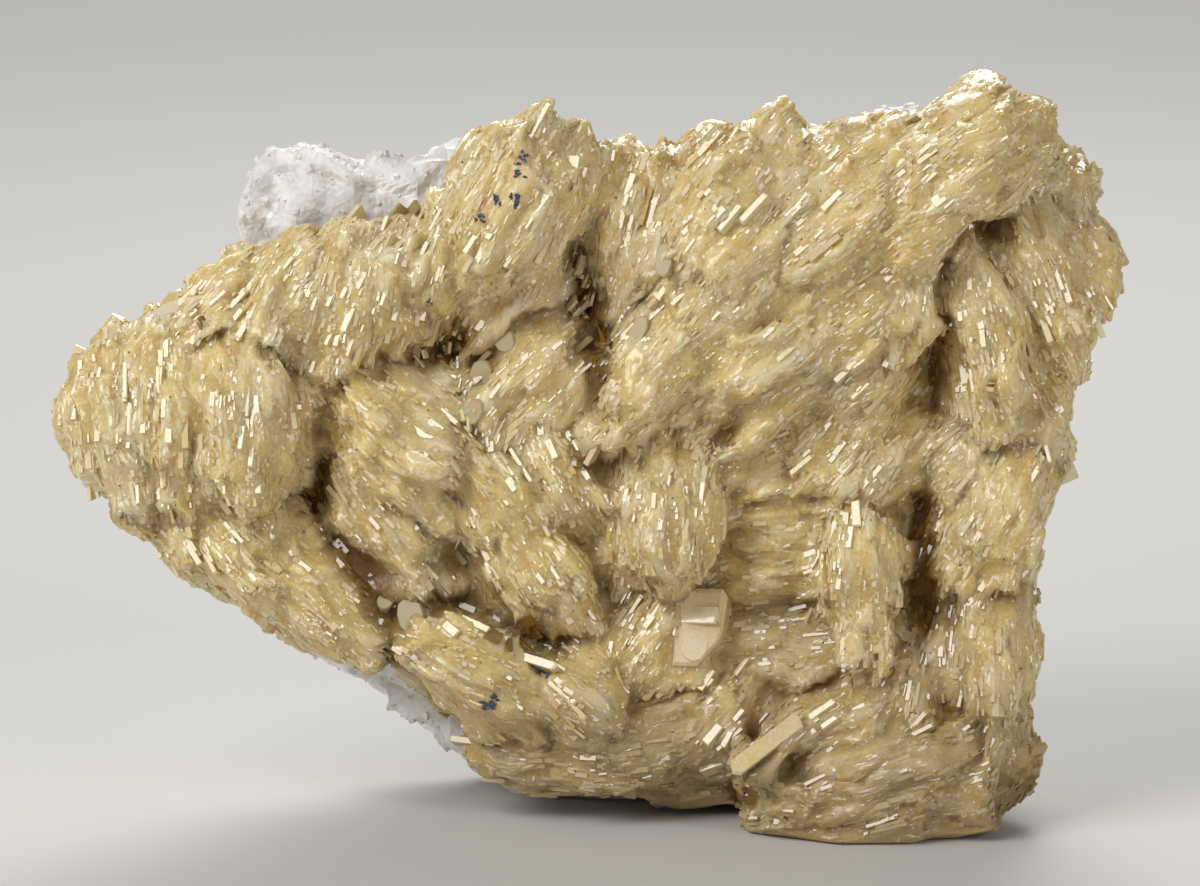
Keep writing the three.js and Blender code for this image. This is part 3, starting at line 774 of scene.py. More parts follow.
class BladeSettings(bpy.types.PropertyGroup):
    """Sizes and colours of the barite."""

    length: FloatProperty(
        name="Length", description="Usual length of a blade's edge", default=1.5 * MM, unit="LENGTH"
    )
    thickness: FloatProperty(
        name="Thickness", description="Usual thickness of a blade", default=0.34 * MM, unit="LENGTH"
    )
    depth: FloatProperty(
        name="Depth", description="How far a blade goes into the crust", default=1.6 * MM, unit="LENGTH"
    )
    crowding: FloatProperty(
        name="Crowding", description="Blades on a square metre of the open crust", default=2.6e6, min=0
    )
    voxel: FloatProperty(
        name="Bed fineness", description="Mesh size of the crust", default=0.44 * MM, unit="LENGTH"
    )
    seed: IntProperty(name="Seed", description="Picks where each blade stands", default=11)
    body: FloatVectorProperty(
        name="Honey", description="Colour of the barite", subtype="COLOR", default=linear("#e2c67b")
    )
    drift: FloatVectorProperty(
        name="Beige", description="Colour where it is greyer", subtype="COLOR", default=linear("#dbc994")
    )
    amber: FloatVectorProperty(
        name="Amber", description="Colour of its deepest clouds", subtype="COLOR", default=linear("#cea34e")
    )
    tip: FloatVectorProperty(
        name="Cream", description="Colour of open blade tips", subtype="COLOR", default=linear("#faf0d6")
    )
    # Painted shade: the dark brown that the barite's colour turns to where shade falls.
    crevice: FloatVectorProperty(
        name="Crevice", description="Colour deep in the crust", subtype="COLOR", default=linear("#7e5c1e")
    )
    smoke: FloatVectorProperty(
        name="Smoke", description="Colour of the clear crystals", subtype="COLOR", default=linear("#e0d2a6")
    )


class RockSettings(bpy.types.PropertyGroup):
    """Sizes and colours of the rock."""

    voxel: FloatProperty(
        name="Fineness", description="Mesh size of the rock", default=0.6 * MM, unit="LENGTH"
    )
    grain: FloatProperty(
        name="Grain", description="Usual size of a grain in the rock", default=0.5 * MM, unit="LENGTH"
    )
    crowding: FloatProperty(
        name="Crowding", description="Grains on a square metre of the rock", default=0.35e6, min=0
    )
    seed: IntProperty(name="Seed", description="Picks where each grain lies", default=5)
    white: FloatVectorProperty(
        name="White", description="Colour of the rock", subtype="COLOR", default=linear("#f9f7f5")
    )
    grey: FloatVectorProperty(
        name="Grey", description="Colour of its grey patches", subtype="COLOR", default=linear("#c6c3c1")
    )


class GrainSettings(bpy.types.PropertyGroup):
    """Colours of the dark grains."""

    seed: IntProperty(name="Seed", description="Picks the shape of each grain", default=3)
    specks: IntProperty(name="Specks", description="Tiny dark specks on the crystal face", default=220)
    metal: FloatVectorProperty(
        name="Metal", description="Colour of the dark grains", subtype="COLOR", default=linear("#5c616c")
    )
    rust: FloatVectorProperty(
        name="Rust", description="Colour of their weathering", subtype="COLOR", default=linear("#7a4028")
    )


class StageSettings(bpy.types.PropertyGroup):
    """The floor, the lights and the camera."""

    floor: FloatVectorProperty(
        name="Floor", description="Colour of the floor", subtype="COLOR", default=linear("#d3d1cc")
    )
    lens: FloatProperty(
        name="Lens", description="Focal length of the camera", default=180, subtype="DISTANCE_CAMERA"
    )
    distance: FloatProperty(
        name="Distance", description="From the camera to the crystal face", default=510 * MM, unit="LENGTH"
    )


def new_material(name, looks, settings):
    """A material for a surface with a principled shader, whose inputs a function of its looks works out."""
    material = bpy.data.materials.new(name)
    material.use_nodes = True
    material.node_tree.nodes.clear()
    add = partial(add_node, material.node_tree)
    shader = add("ShaderNodeBsdfPrincipled", looks(add, settings))
    add("ShaderNodeOutputMaterial", {"Surface": shader[0]})
    return material


def barite_colour(add, settings):
    """Honey yellow, greyer in drifts and streaked with cream along the blades; painted shade turns it amber
    brown in crevices and hollows, under overhangs and near the floor.
    """
    shade = add("ShaderNodeAttribute", attribute_name="shade")["Fac"]
    tone = add("ShaderNodeAttribute", attribute_name="tone")["Fac"]
    lane = add("ShaderNodeAttribute", attribute_name="lane")["Vector"]
    place = add("ShaderNodeTexCoord")["Object"]
    # Drifts of beige about 9 mm across.
    drifts = add("ShaderNodeTexNoise", {"Vector": place, "Scale": 1 / (9 * MM)})["Fac"]
    # Clouds of amber, drawn out along the blades to 3.5 mm, 1.5 mm across them.
    clouds = add("ShaderNodeVectorMath", [lane, (3.5, 1.5, 2.5)], operation="DIVIDE")[0]
    clouds = add("ShaderNodeTexNoise", {"Vector": clouds, "Scale": 1.0, "Detail": 3.0})["Fac"]
    # Streaks of cream about 3 mm long and 0.6 mm across.
    streaks = add("ShaderNodeVectorMath", [lane, (3.0, 0.6, 1.2)], operation="DIVIDE")[0]
    streaks = add("ShaderNodeTexNoise", {"Vector": streaks, "Scale": 1.0})["Fac"]
    # Adding the tone makes the streaks paler where it is high; on the crust that is raised relief and the
    # brinks of masses, partly paler frosted tips and partly a painted highlight for the glow of thin edges.
    streaks = add("ShaderNodeMath", [tone, streaks], operation="ADD")[0]
    # Sugary grain of 0.3 mm.
    sugar = add("ShaderNodeTexNoise", {"Vector": place, "Scale": 1 / (0.3 * MM)})["Fac"]
    colour = (*settings.body, 1)
    for pattern, low, high, most, tint in [
        (drifts, 0.48, 0.66, 0.7, settings.drift),
        (clouds, 0.52, 0.34, 0.6, settings.amber),
        (streaks, 0.8, 1.25, 0.6, settings.tip),
        (sugar, 0.45, 0.7, 0.4, settings.tip),
        # Painted shade: where the shade value is low the colour goes to the crevice brown.
        (shade, 0.7, 0.18, 1.0, settings.crevice),
    ]:
        limits = {"Value": pattern, "From Min": low, "From Max": high, "To Max": most}
        share = add("ShaderNodeMapRange", limits)[0]
        sides = {"Factor": share, 6: colour, 7: (*tint, 1)}
        colour = add("ShaderNodeMix", sides, data_type="RGBA")[2]
    return colour


def honey_barite(add, settings):
    """Tabular barite in the mass: heavy and translucent. Light sinks in and comes out honey yellow, while
    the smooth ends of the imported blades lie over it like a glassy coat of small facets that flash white."""
    lane = add("ShaderNodeAttribute", attribute_name="lane")["Vector"]
    # Blade ends about 1.6 mm long, 0.35 mm wide and 1 mm deep, each a flat facet with its own tilt.
    ends = add("ShaderNodeVectorMath", [lane, (1.6, 0.35, 1.0)], operation="DIVIDE")[0]
    ends = add(
        "ShaderNodeTexVoronoi",
        {"Vector": ends, "Scale": 1.0, "Detail": 1.0, "Roughness": 0.6, "Randomness": 0.8},
        distance="CHEBYCHEV",
    )["Color"]
    # Neighbours lean alike, in patches about 5 mm across.
    place = add("ShaderNodeTexCoord")["Object"]
    patch = add("ShaderNodeTexNoise", {"Vector": place, "Scale": 1 / (5 * MM), "Detail": 1.0})["Color"]
    tilt = add("ShaderNodeVectorMath", [ends, patch], operation="ADD")[0]
    tilt = add("ShaderNodeVectorMath", [tilt, (1.0, 1.0, 1.0)], operation="SUBTRACT")[0]
    tilt = add("ShaderNodeVectorMath", {0: tilt, "Scale": 0.6}, operation="SCALE")[0]
    facet = add("ShaderNodeAttribute", attribute_name="tips")["Vector"]
    facet = add("ShaderNodeVectorMath", [facet, tilt], operation="ADD")[0]
    facet = add("ShaderNodeVectorMath", [facet], operation="NORMALIZE")[0]
    # Where the painted shade is deep, in crevices and hollows, the glassy coat is thinner and shows less
    # reflection.
    shade = add("ShaderNodeAttribute", attribute_name="shade")["Fac"]
    limits = {"Value": shade, "From Min": 0.25, "From Max": 0.6, "To Max": 0.7}
    gloss = add("ShaderNodeMapRange", limits)[0]
    # Ribs 0.5 mm apart across the blades, and finer ones in them, finer than the mesh.
    ribs = add("ShaderNodeVectorMath", [lane, (1.3, 0.5, 0.9)], operation="DIVIDE")[0]
    ribs = add("ShaderNodeTexNoise", {"Vector": ribs, "Scale": 1.0, "Detail": 3.0})["Fac"]
    bump = add("ShaderNodeBump", {"Strength": 0.65, "Distance": 0.3 * MM, "Height": ribs})[0]
    return {
        "Base Color": barite_colour(add, settings),
        "Roughness": 0.45,
        "IOR": 1.64,
        "Normal": bump,
        "Subsurface Weight": 0.8,
        "Subsurface Radius": (1.0, 0.8, 0.4),
        "Subsurface Scale": 1.4 * MM,
        "Coat Weight": gloss,
        "Coat Roughness": 0.05,
        "Coat IOR": 1.64,
        "Coat Normal": facet,
    }


def barite_tips(add, settings):
    """The ends of barite blades: smooth-faced, so they flash white where they catch a light and are as
    yellow as the mass elsewhere."""
    return {"Base Color": barite_colour(add, settings), "Roughness": 0.08, "IOR": 1.64}


def smoky_barite(add, settings):
    """Pale smoky barite with smooth, satiny faces, clear enough that some light goes through it."""
    sides = {"Factor": 0.5, 6: barite_colour(add, settings), 7: (*settings.smoke, 1)}
    colour = add("ShaderNodeMix", sides, data_type="RGBA")[2]
    return {"Base Color": colour, "Roughness": 0.3, "IOR": 1.64, "Transmission Weight": 0.25}


def sugary_rock(add, settings):
    """Broken white carbonate rock, sugary: a matt white body with grey patches and small bright grains."""
    place = add("ShaderNodeTexCoord")["Object"]
    # Grey patches about 3.5 mm across.
    patch = add("ShaderNodeTexNoise", {"Vector": place, "Scale": 1 / (3.5 * MM), "Detail": 4.0})["Fac"]
    patch = add("ShaderNodeMapRange", {"Value": patch, "From Min": 0.42, "From Max": 0.68})[0]
    sides = {"Factor": patch, 6: (*settings.white, 1), 7: (*settings.grey, 1)}
    colour = add("ShaderNodeMix", sides, data_type="RGBA")[2]
    # Sugar grains about 0.5 mm across.
    sugar = add("ShaderNodeTexVoronoi", {"Vector": place, "Scale": 1 / (0.5 * MM)})
    height = {"Strength": 0.5, "Distance": 0.15 * MM, "Height": sugar["Distance"]}
    bump = add("ShaderNodeBump", height)[0]
    rough = add("ShaderNodeMapRange", {"Value": sugar["Color"], "To Min": 0.25, "To Max": 0.75})[0]
    return {"Base Color": colour, "Roughness": rough, "IOR": 1.6, "Normal": bump}


def dark_metal(add, settings):
    """Dark blue-grey metallic sulphide grains, broken and a little rusty."""
    place = add("ShaderNodeTexCoord")["Object"]
    # Rust in spots about 0.6 mm across.
    spots = add("ShaderNodeTexNoise", {"Vector": place, "Scale": 1 / (0.6 * MM), "Detail": 3.0})["Fac"]
    rust = add("ShaderNodeMapRange", {"Value": spots, "From Min": 0.58, "From Max": 0.7})[0]
    sides = {"Factor": rust, 6: (*settings.metal, 1), 7: (*settings.rust, 1)}
    colour = add("ShaderNodeMix", sides, data_type="RGBA")[2]
    shine = add("ShaderNodeMapRange", {"Value": rust, "To Min": 0.5, "To Max": 0.0})[0]
    bump = add("ShaderNodeBump", {"Strength": 0.4, "Distance": 0.05 * MM, "Height": spots})[0]
    return {"Base Color": colour, "Metallic": shine, "Roughness": 0.32, "Normal": bump}


def matt_paper(add, settings):
    """Pale matt background paper, which shows soft shadows and no gloss."""
    return {"Base Color": (*settings.floor, 1), "Roughness": 0.7}


def templates(name, outlines):
    """One object for each outline, half a thickness each way, in a collection that isn't shown."""
    collection = bpy.data.collections.new(name)
    for number, outline in enumerate(outlines):
        mesh = bpy.data.meshes.new(f"{name}_{number}")
        count = len(outline)
        points = [(x, side, z) for side in (-0.5, 0.5) for x, z in outline]
        front = tuple(range(count - 1, -1, -1))
        back = tuple(range(count, 2 * count))
        sides = [(i, (i + 1) % count, (i + 1) % count + count, i + count) for i in range(count)]
        mesh.from_pydata(points, [], [front, back, *sides])
        with reworked(mesh) as shape:
            bmesh.ops.recalc_face_normals(shape, faces=shape.faces)
        collection.objects.link(bpy.data.objects.new(mesh.name, mesh))
    return collection


def sugar_templates(seed):
    """A few broken rhombs of carbonate about a unit across, in a collection that isn't shown."""
    collection = bpy.data.collections.new("sugar_rhombs")
    chance = random.Random(seed)
    for number in range(3):
        mesh = bpy.data.meshes.new(f"sugar_rhomb_{number}")
        with reworked(mesh) as shape:
            bmesh.ops.create_cube(shape, size=1.0)
            for vert in shape.verts:
                vert.co.x += 0.35 * vert.co.z + chance.uniform(-0.1, 0.1)
                vert.co.y *= 0.8
        collection.objects.link(bpy.data.objects.new(mesh.name, mesh))
    return collection


def new_tree(name, inputs):
    """A Geometry Nodes tree that takes a geometry and other named inputs, and gives a geometry. Returns it,
    the function that adds a node to it, and what it is given."""
    tree = bpy.data.node_groups.new(name, "GeometryNodeTree")
    tree.interface.new_socket("Geometry", in_out="INPUT", socket_type="NodeSocketGeometry")
    for kind, names in inputs.items():
        for socket in names:
            tree.interface.new_socket(socket, in_out="INPUT", socket_type=kind)
    tree.interface.new_socket("Geometry", in_out="OUTPUT", socket_type="NodeSocketGeometry")
    add = partial(add_node, tree)
    return tree, add, add("NodeGroupInput")


def blade_field_tree():
    """Geometry Nodes that stand blades on a bed, along and up as the bed's own attributes say."""
    tree, add, given = new_tree("Blade field", BLADE_INPUTS)
    bed = {}
    for name, kind in BED_VALUES.items():
        bed[name] = add("GeometryNodeInputNamedAttribute", [name], data_type=kind)[0]
    drawn = {}
    for name, (least, most, offset) in BLADE_DRAWS.items():
        seed = add("ShaderNodeMath", [given["Seed"], float(offset)], operation="ADD")[0]
        drawn[name] = add("FunctionNodeRandomValue", {2: least, 3: most, "Seed": seed})[1]

    sides = {2: bed["region"], 3: given["Region"]}
    here = add("FunctionNodeCompare", sides, data_type="INT", operation="EQUAL")[0]
    density = add("GeometryNodeInputNamedAttribute", [given["Where"]], data_type="FLOAT")[0]
    density = add("ShaderNodeMath", [density, given["Crowding"]], operation="MULTIPLY")[0]
    points = add(
        "GeometryNodeDistributePointsOnFaces",
        {"Mesh": given["Geometry"], "Selection": here, "Density": density, "Seed": given["Seed"]},
    )["Points"]

    # Most blades are short, and a few are long.
    size = add("ShaderNodeMath", [drawn["size"], 2.2], operation="POWER")[0]
    size = add("ShaderNodeMapRange", {"Value": size, "To Min": 0.5, "To Max": given["Longest"]})[0]
    share = add("ShaderNodeCombineXYZ", [size, drawn["thickness"], drawn["depth"]])[0]
    usual = add("ShaderNodeCombineXYZ", [given["Length"], given["Thickness"], given["Depth"]])[0]
    scale = add("ShaderNodeVectorMath", [share, usual], operation="MULTIPLY")[0]

    # On the front, blades are pulled towards the way that tips look.
    pull = add("ShaderNodeMath", [given["Pull"], bed["front"]], operation="MULTIPLY")[0]
    pull = add("ShaderNodeVectorMath", {0: given["Facing"], "Scale": pull}, operation="SCALE")[0]
    up = add("ShaderNodeVectorMath", [bed["up"], pull], operation="ADD")[0]
    up = add("ShaderNodeVectorMath", [up], operation="NORMALIZE")[0]

    # Blades in one book share its height and its lean, and each has a little of its own.
    book = add("ShaderNodeVectorMath", [bed["lane"], BOOK_SIZE], operation="DIVIDE")[0]
    book = add("ShaderNodeTexVoronoi", {"Vector": book, "Scale": 1.0})["Color"]
    book = add("ShaderNodeSeparateXYZ", [book])
    step = add("ShaderNodeMath", [book[0], 0.4], operation="SUBTRACT")[0]
    step = add("ShaderNodeMath", [step, given["Book Step"]], operation="MULTIPLY")[0]
    limits = {"Value": drawn["rise"], "To Min": given["Lowest"], "To Max": given["Highest"]}
    rise = add("ShaderNodeMapRange", limits)[0]
    rise = add("ShaderNodeMath", [rise, step], operation="ADD")[0]
    rise = add("ShaderNodeVectorMath", {0: up, "Scale": rise}, operation="SCALE")[0]
    points = add("GeometryNodeSetPosition", {"Geometry": points, "Offset": rise})[0]

    middle = (0.5, 0.5, 0.5)
    own = add("ShaderNodeCombineXYZ", [drawn["lean"], drawn["swing"], drawn["turn"]])[0]
    own = add("ShaderNodeVectorMath", [own, middle], operation="SUBTRACT")[0]
    shared = add("ShaderNodeCombineXYZ", [book[1], book[2], book[0]])[0]
    shared = add("ShaderNodeVectorMath", [shared, middle], operation="SUBTRACT")[0]
    shared = add("ShaderNodeVectorMath", {0: shared, "Scale": 1.4}, operation="SCALE")[0]
    most = add("ShaderNodeCombineXYZ", [given["Lean"], given["Swing"], given["Swing"]])[0]
    lean = add("ShaderNodeVectorMath", [own, shared], operation="ADD")[0]
    lean = add("ShaderNodeVectorMath", [lean, most], operation="MULTIPLY")[0]
    lean = add("FunctionNodeEulerToRotation", [lean])[0]
    axes = {"primary_axis": "Z", "secondary_axis": "X"}
    lie = add("FunctionNodeAxesToRotation", [up, bed["along"]], **axes)[0]
    lie = add("FunctionNodeRotateRotation", [lie, lean], rotation_space="LOCAL")[0]

    last = add("ShaderNodeMath", [given["Kinds"], 1.0], operation="SUBTRACT")[0]
    seed = add("ShaderNodeMath", [given["Seed"], 11.0], operation="ADD")[0]
    kind = add("FunctionNodeRandomValue", {4: 0, 5: last, "Seed": seed}, data_type="INT")[2]
    stock = {"Collection": given["Blades"], "Separate Children": True, "Reset Children": True}
    blades = add("GeometryNodeCollectionInfo", stock)[0]
    placed = add(
        "GeometryNodeInstanceOnPoints",
        {
            "Points": points,
            "Instance": blades,
            "Pick Instance": True,
            "Instance Index": kind,
            "Rotation": lie,
            "Scale": scale,
        },
    )[0]
    tone = add("ShaderNodeMath", [drawn["tone"], 0.3], operation="MULTIPLY")[0]
    tone = add("ShaderNodeMath", [tone, 0.35], operation="ADD")[0]
    kept = {"Geometry": placed, "Name": "tone", "Value": tone}
    placed = add("GeometryNodeStoreNamedAttribute", kept, data_type="FLOAT", domain="INSTANCE")[0]
    real = add("GeometryNodeRealizeInstances", [placed])[0]
    real = add("GeometryNodeSetMaterial", {"Geometry": real, "Material": given["Material"]})[0]
    add("NodeGroupOutput", [real])
    return tree


def sugar_tree():
    """Geometry Nodes that bed small rhombs in the rock, turned anyhow."""
    tree, add, given = new_tree("Sugar grains", SUGAR_INPUTS)
    seed = given["Seed"]
    crowd = add("GeometryNodeInputNamedAttribute", ["crowd"], data_type="FLOAT")[0]
    crowd = add("ShaderNodeMath", [crowd, given["Crowding"]], operation="MULTIPLY")[0]
    spread = {"Mesh": given["Geometry"], "Density": crowd, "Seed": seed}
    points = add("GeometryNodeDistributePointsOnFaces", spread)["Points"]
    limits = {0: (0.0, 0.0, 0.0), 1: (FULL_TURN, FULL_TURN, FULL_TURN), "Seed": seed}
    turn = add("FunctionNodeRandomValue", limits, data_type="FLOAT_VECTOR")[0]
    turn = add("FunctionNodeEulerToRotation", [turn])[0]
    # Most grains are small, and a few are large.
    size = add("FunctionNodeRandomValue", {2: 0.0, 3: 1.0, "Seed": seed})[1]
    size = add("ShaderNodeMath", [size, 3.0], operation="POWER")[0]
    size = add("ShaderNodeMapRange", {"Value": size, "To Min": 0.4, "To Max": 1.2})[0]
    size = add("ShaderNodeMath", [size, given["Size"]], operation="MULTIPLY")[0]
    stock = {"Collection": given["Grain"], "Separate Children": True, "Reset Children": True}
    grains = add("GeometryNodeCollectionInfo", stock)[0]
    placed = add(
        "GeometryNodeInstanceOnPoints",
        {"Points": points, "Instance": grains, "Pick Instance": True, "Rotation": turn, "Scale": size},
    )[0]
    real = add("GeometryNodeRealizeInstances", [placed])[0]
    real = add("GeometryNodeSetMaterial", {"Geometry": real, "Material": given["Material"]})[0]
    add("NodeGroupOutput", [real])
    return tree


def grown(bed, tree, name, values):
    """A plain mesh of what a Geometry Nodes tree grows on a bed, as a new object."""
    thing = new_object(name, bed.data)
    modifier = thing.modifiers.new(tree.name, "NODES")
    modifier.node_group = tree
    sockets = {item.name: item.identifier for item in tree.interface.items_tree if item.in_out == "INPUT"}
    for key, value in values.items():
        modifier[sockets[key]] = value
    mesh = evaluated(thing, name)
    thing.modifiers.clear()
    thing.data = mesh
    return thing


def overhung(mesh):
    """Moves a crust to the specimen's outline, hangs a lip from each mass and sinks the hollows. Returns
    how the blades lie, how clear of the floor each point is, and how much of its light it keeps."""
    places = shifted(coordinates(mesh) / MM, CRUST_SHIFTS)
    facing = normals(mesh)
    lie = FIELD.measure(places)
    clear = ramp(places[:, 2], 0.4, 1.5)
    # The foot of an overhang goes in half as far as its lip stands out.
    lips = LIP * np.where(lie.brink > 0, lie.brink, 0.5 * lie.brink) * np.clip(-facing[:, 1], 0, 1)
    places[:, 1] -= lips * clear
    move_points(mesh, places * MM)
    soften(mesh, 2)
    places = coordinates(mesh) / MM
    sunk, light = in_hollows(places, normals(mesh))
    # Painted shade: the crust's colour is darker towards the floor, where less light reaches it.
    light *= 1 - FLOOR_SHADE * np.exp(-((places[:, 2] / FLOOR_SHADE_HEIGHT) ** 2))
    # Painted shade at the foot of each overhang.
    light *= 1 - OVERHANG_SHADE * np.clip(-lie.brink, 0, 1)
    places[:, 1] += HOLLOW_DEPTH * sunk * clear
    move_points(mesh, places * MM)
    soften(mesh, 2)
    return lie, clear, light


def roughened(mesh, lie, clear):
    """Raises the blades' relief on a crust, and the waves in it. Returns the relief in millimetres."""
    places = coordinates(mesh) / MM
    relief = np.zeros(len(places))
    for pattern, size, height, seed, shift in BLADE_RELIEF.values():
        relief += height * pattern(lie.lane / size + lie.fan[:, None] * shift, 1.0, seed)
    relief *= clear
    places += normals(mesh) * (CRUST_SWELL * clear + relief)[:, None]
    waves = sum(height * wandering(places, size, seed) for size, height, seed in CRUST_WAVES)
    places += waves * clear[:, None]
    places[:, 2] = np.maximum(places[:, 2], 0)
    move_points(mesh, places * MM)
    soften(mesh, 1)
    return relief


def where_blades_stand(places, facing, shade):
    """How crowded the small blades are at each place, how crowded those that flash, and how far the place
    looks the way that tips do, mostly from 0 to 1."""
    tipward = facing @ unit(np.array([TIP_FACING]))[0]
    front = ramp(tipward, 0.1, 0.4)
    # Small blades are densest where the crust is seen edge on, and none stand under the foot.
    sight = np.abs(facing @ np.array([0, -math.cos(VIEW_TILT), math.sin(VIEW_TILT)]))
    rim = ramp(0.55 - sight, 0, 0.25)
    crowd = ramp(shade, 0.05, 0.15, 0.15) * (0.3 + 0.7 * rim)
    crowd *= np.where((places[:, 2] < 1.2) & (facing[:, 2] < -0.2), 0.0, 1.0)
    # Those that flash come in patches about 4.5 mm across on open faces, and thinly on the sides and back.
    glints = ramp(tipward, 0.45, 0.3)
    glints *= np.clip(0.35 + 2.6 * turbulence(places, 4.5, 12), 0.05, 1) * ramp(shade, 0.2, 0.2)
    glints *= ramp(0.8 - facing[:, 2], 0, 0.25, 0.15)
    glints += 0.3 * (1 - front) * ramp(places[:, 2], 1.5, 1)
    for name in GRAIN_NODES:
        low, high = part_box(name)
        reach = np.linalg.norm(places - np.array((low + high) / 2 / MM), axis=1)
        apart = np.clip(reach - (high - low).length / 2 / MM, 0, 1)
        crowd *= apart
        glints *= apart
    return crowd, glints, front


class BARITE_OT_crust(bpy.types.Operator):
    """Makes the crust that the blades stand on, and works out how they lie"""

    bl_idname = "barite.crust"
    bl_label = "Crust"

    def execute(self, context):
        settings = context.scene.barite_blades
        bed = remeshed("barite_crust", "barite_bed", settings.voxel, CREASE_FILL * MM, 10)
        mesh = bed.data
        lie, clear, light = overhung(mesh)
        shade = openness(mesh, SHADE_REACH * MM, SHADE_RAYS, 4)
        relief = roughened(mesh, lie, clear)
        facing = normals(mesh)
        crowd, glints, front = where_blades_stand(coordinates(mesh) / MM, facing, shade)
        lift = 0.35 * lie.up + 0.65 * facing
        away = (lie.up * facing).sum(axis=1) < 0
        lift[away] = facing[away]
        up = unit(lift)
        vectors = {
            "along": lie.along,
            "up": up,
            "tips": unit(up + facing + 1.2 * (facing[:, 1:2] < 0) * np.array([TIP_FACING])),
            # Patterns along the blades start afresh from fan to fan.
            "lane": lie.lane + lie.fan[:, None] * [0, 0, 40.0],
        }
        numbers = {
            # Painted shade: how open each place is, times the light that hollows, overhangs and the floor
            # leave it.
            "shade": shade * light,
            "crowd": crowd,
            "glints": glints,
            "front": front,
            # Paler on raised relief and on the brink of a mass: partly the blades' paler frosted tips, partly
            # a painted highlight for the glow of thin translucent edges.
            "tone": 0.33 + 0.5 * relief + 0.25 * np.clip(lie.brink, 0, 1),
        }
        for name, values in vectors.items():
            keep_values(mesh, name, values, "FLOAT_VECTOR")
        for name, values in numbers.items():
            keep_values(mesh, name, values)
        first = np.array([polygon.vertices[0] for polygon in mesh.polygons])
        keep_values(mesh, "region", FIELD.region[lie.fan[first]].astype(np.int32), "INT", "FACE")
        mesh.polygons.foreach_set("use_smooth", np.ones(len(mesh.polygons), bool))
        material = new_material("barite_honey_translucent", honey_barite, settings)
        finished(bed, material, "barite", "barite_crust")
        return {"FINISHED"}


class BARITE_OT_blades(bpy.types.Operator):
    """Stands the crowded blades on the crust, one piece for each part of it"""

    bl_idname = "barite.blades"
    bl_label = "Blades"

    def execute(self, context):
        settings = context.scene.barite_blades
        bed = bpy.data.objects["barite_bed"]
        tree = blade_field_tree()
        stock = {name: templates(name, outlines) for name, outlines in OUTLINES.items()}
        material = new_material("barite_clear_tips", barite_tips, settings)
        for number, region in enumerate(FANS):
            shape = bmesh.new()
            for kind in BLADE_KINDS:
                values = {
                    "Region": number,
                    "Where": kind["Where"],
                    "Blades": stock[kind["Outlines"]],
                    "Kinds": len(OUTLINES[kind["Outlines"]]),
                    "Crowding": settings.crowding * kind["Crowding"],
                    "Seed": settings.seed + 20 * number + kind["Seed"],
                    "Length": settings.length * kind["Length"],
                    "Longest": kind["Longest"],
                    "Thickness": settings.thickness * kind["Thickness"],
                    "Depth": settings.depth,
                    "Lowest": kind["Lowest"] * MM,
                    "Highest": kind["Highest"] * MM,
                    "Book Step": kind["Book Step"] * MM,
                    "Facing": TIP_FACING,
                    "Pull": kind["Pull"],
                    "Lean": math.radians(kind["Lean"]),
                    "Swing": math.radians(kind["Swing"]),
                    "Material": material,
                }
                thing = grown(bed, tree, f"barite_{region}", values)
                shape.from_mesh(thing.data)
                bpy.data.objects.remove(thing)
            mesh = bpy.data.meshes.new(f"barite_blades_{region}")
            shape.to_mesh(mesh)
            shape.free()
            places = coordinates(mesh)
            # No blade goes into the floor.
            places[:, 2] = np.maximum(places[:, 2], 0.01 * MM)
            move_points(mesh, places)
            finished(new_object(f"barite_blades_{region}", mesh), material, "barite")
        return {"FINISHED"}


def rotation(degrees, axis):
    """A turn about an axis."""
    return Matrix.Rotation(math.radians(degrees), 4, axis)


def crystal(shape, outline, turn, length, width, root, proud, placed):
    """Adds a tablet to a bmesh, at three levels: its root, edge and flat top. Returns its corners."""
    levels = [(0.9, -root), (1.0, proud - min(BEVEL * width, WIDEST_BEVEL)), (0.9, proud)]
    points = [(s * x * length, s * y * width, z) for s, z in levels for x, y in CRYSTAL_OUTLINES[outline]]
    return hull(shape, [placed @ rotation(turn, "Z") @ Vector(point) for point in points])


def set_crystals(name, rows, tree):
    """Tablets rooted in the crust where they are seen, with the plates on the square one, as one object."""
    shape = bmesh.new()
    tone = shape.verts.layers.float.new("tone")
    for key, (outline, across, rise, turn, length, width, proud, right, upward) in rows.items():
        lean = rotation(-upward, "X") @ rotation(right, "Z") @ rotation(90, "X")
        placed = Matrix.Translation(seen_on(tree, across, rise) / MM) @ lean
        for corner in crystal(shape, outline, turn, length, width, width + 1.0, proud, placed):
            corner[tone] = CRYSTAL_TONE
        if key == "square_tablet":
            for plate, x, y, plate_turn, long, wide, high, plate_right, plate_up in TABLET_PLATES.values():
                lean = rotation(-plate_up, "X") @ rotation(plate_right, "Y")
                spot = placed @ Matrix.Translation((x, y, proud)) @ lean
                for corner in crystal(shape, plate, plate_turn, long, wide, 0.5, high, spot):
                    corner[tone] = PLATE_TONE
    bmesh.ops.scale(shape, vec=(MM, MM, MM), verts=shape.verts)
    return mesh_from(shape, name)


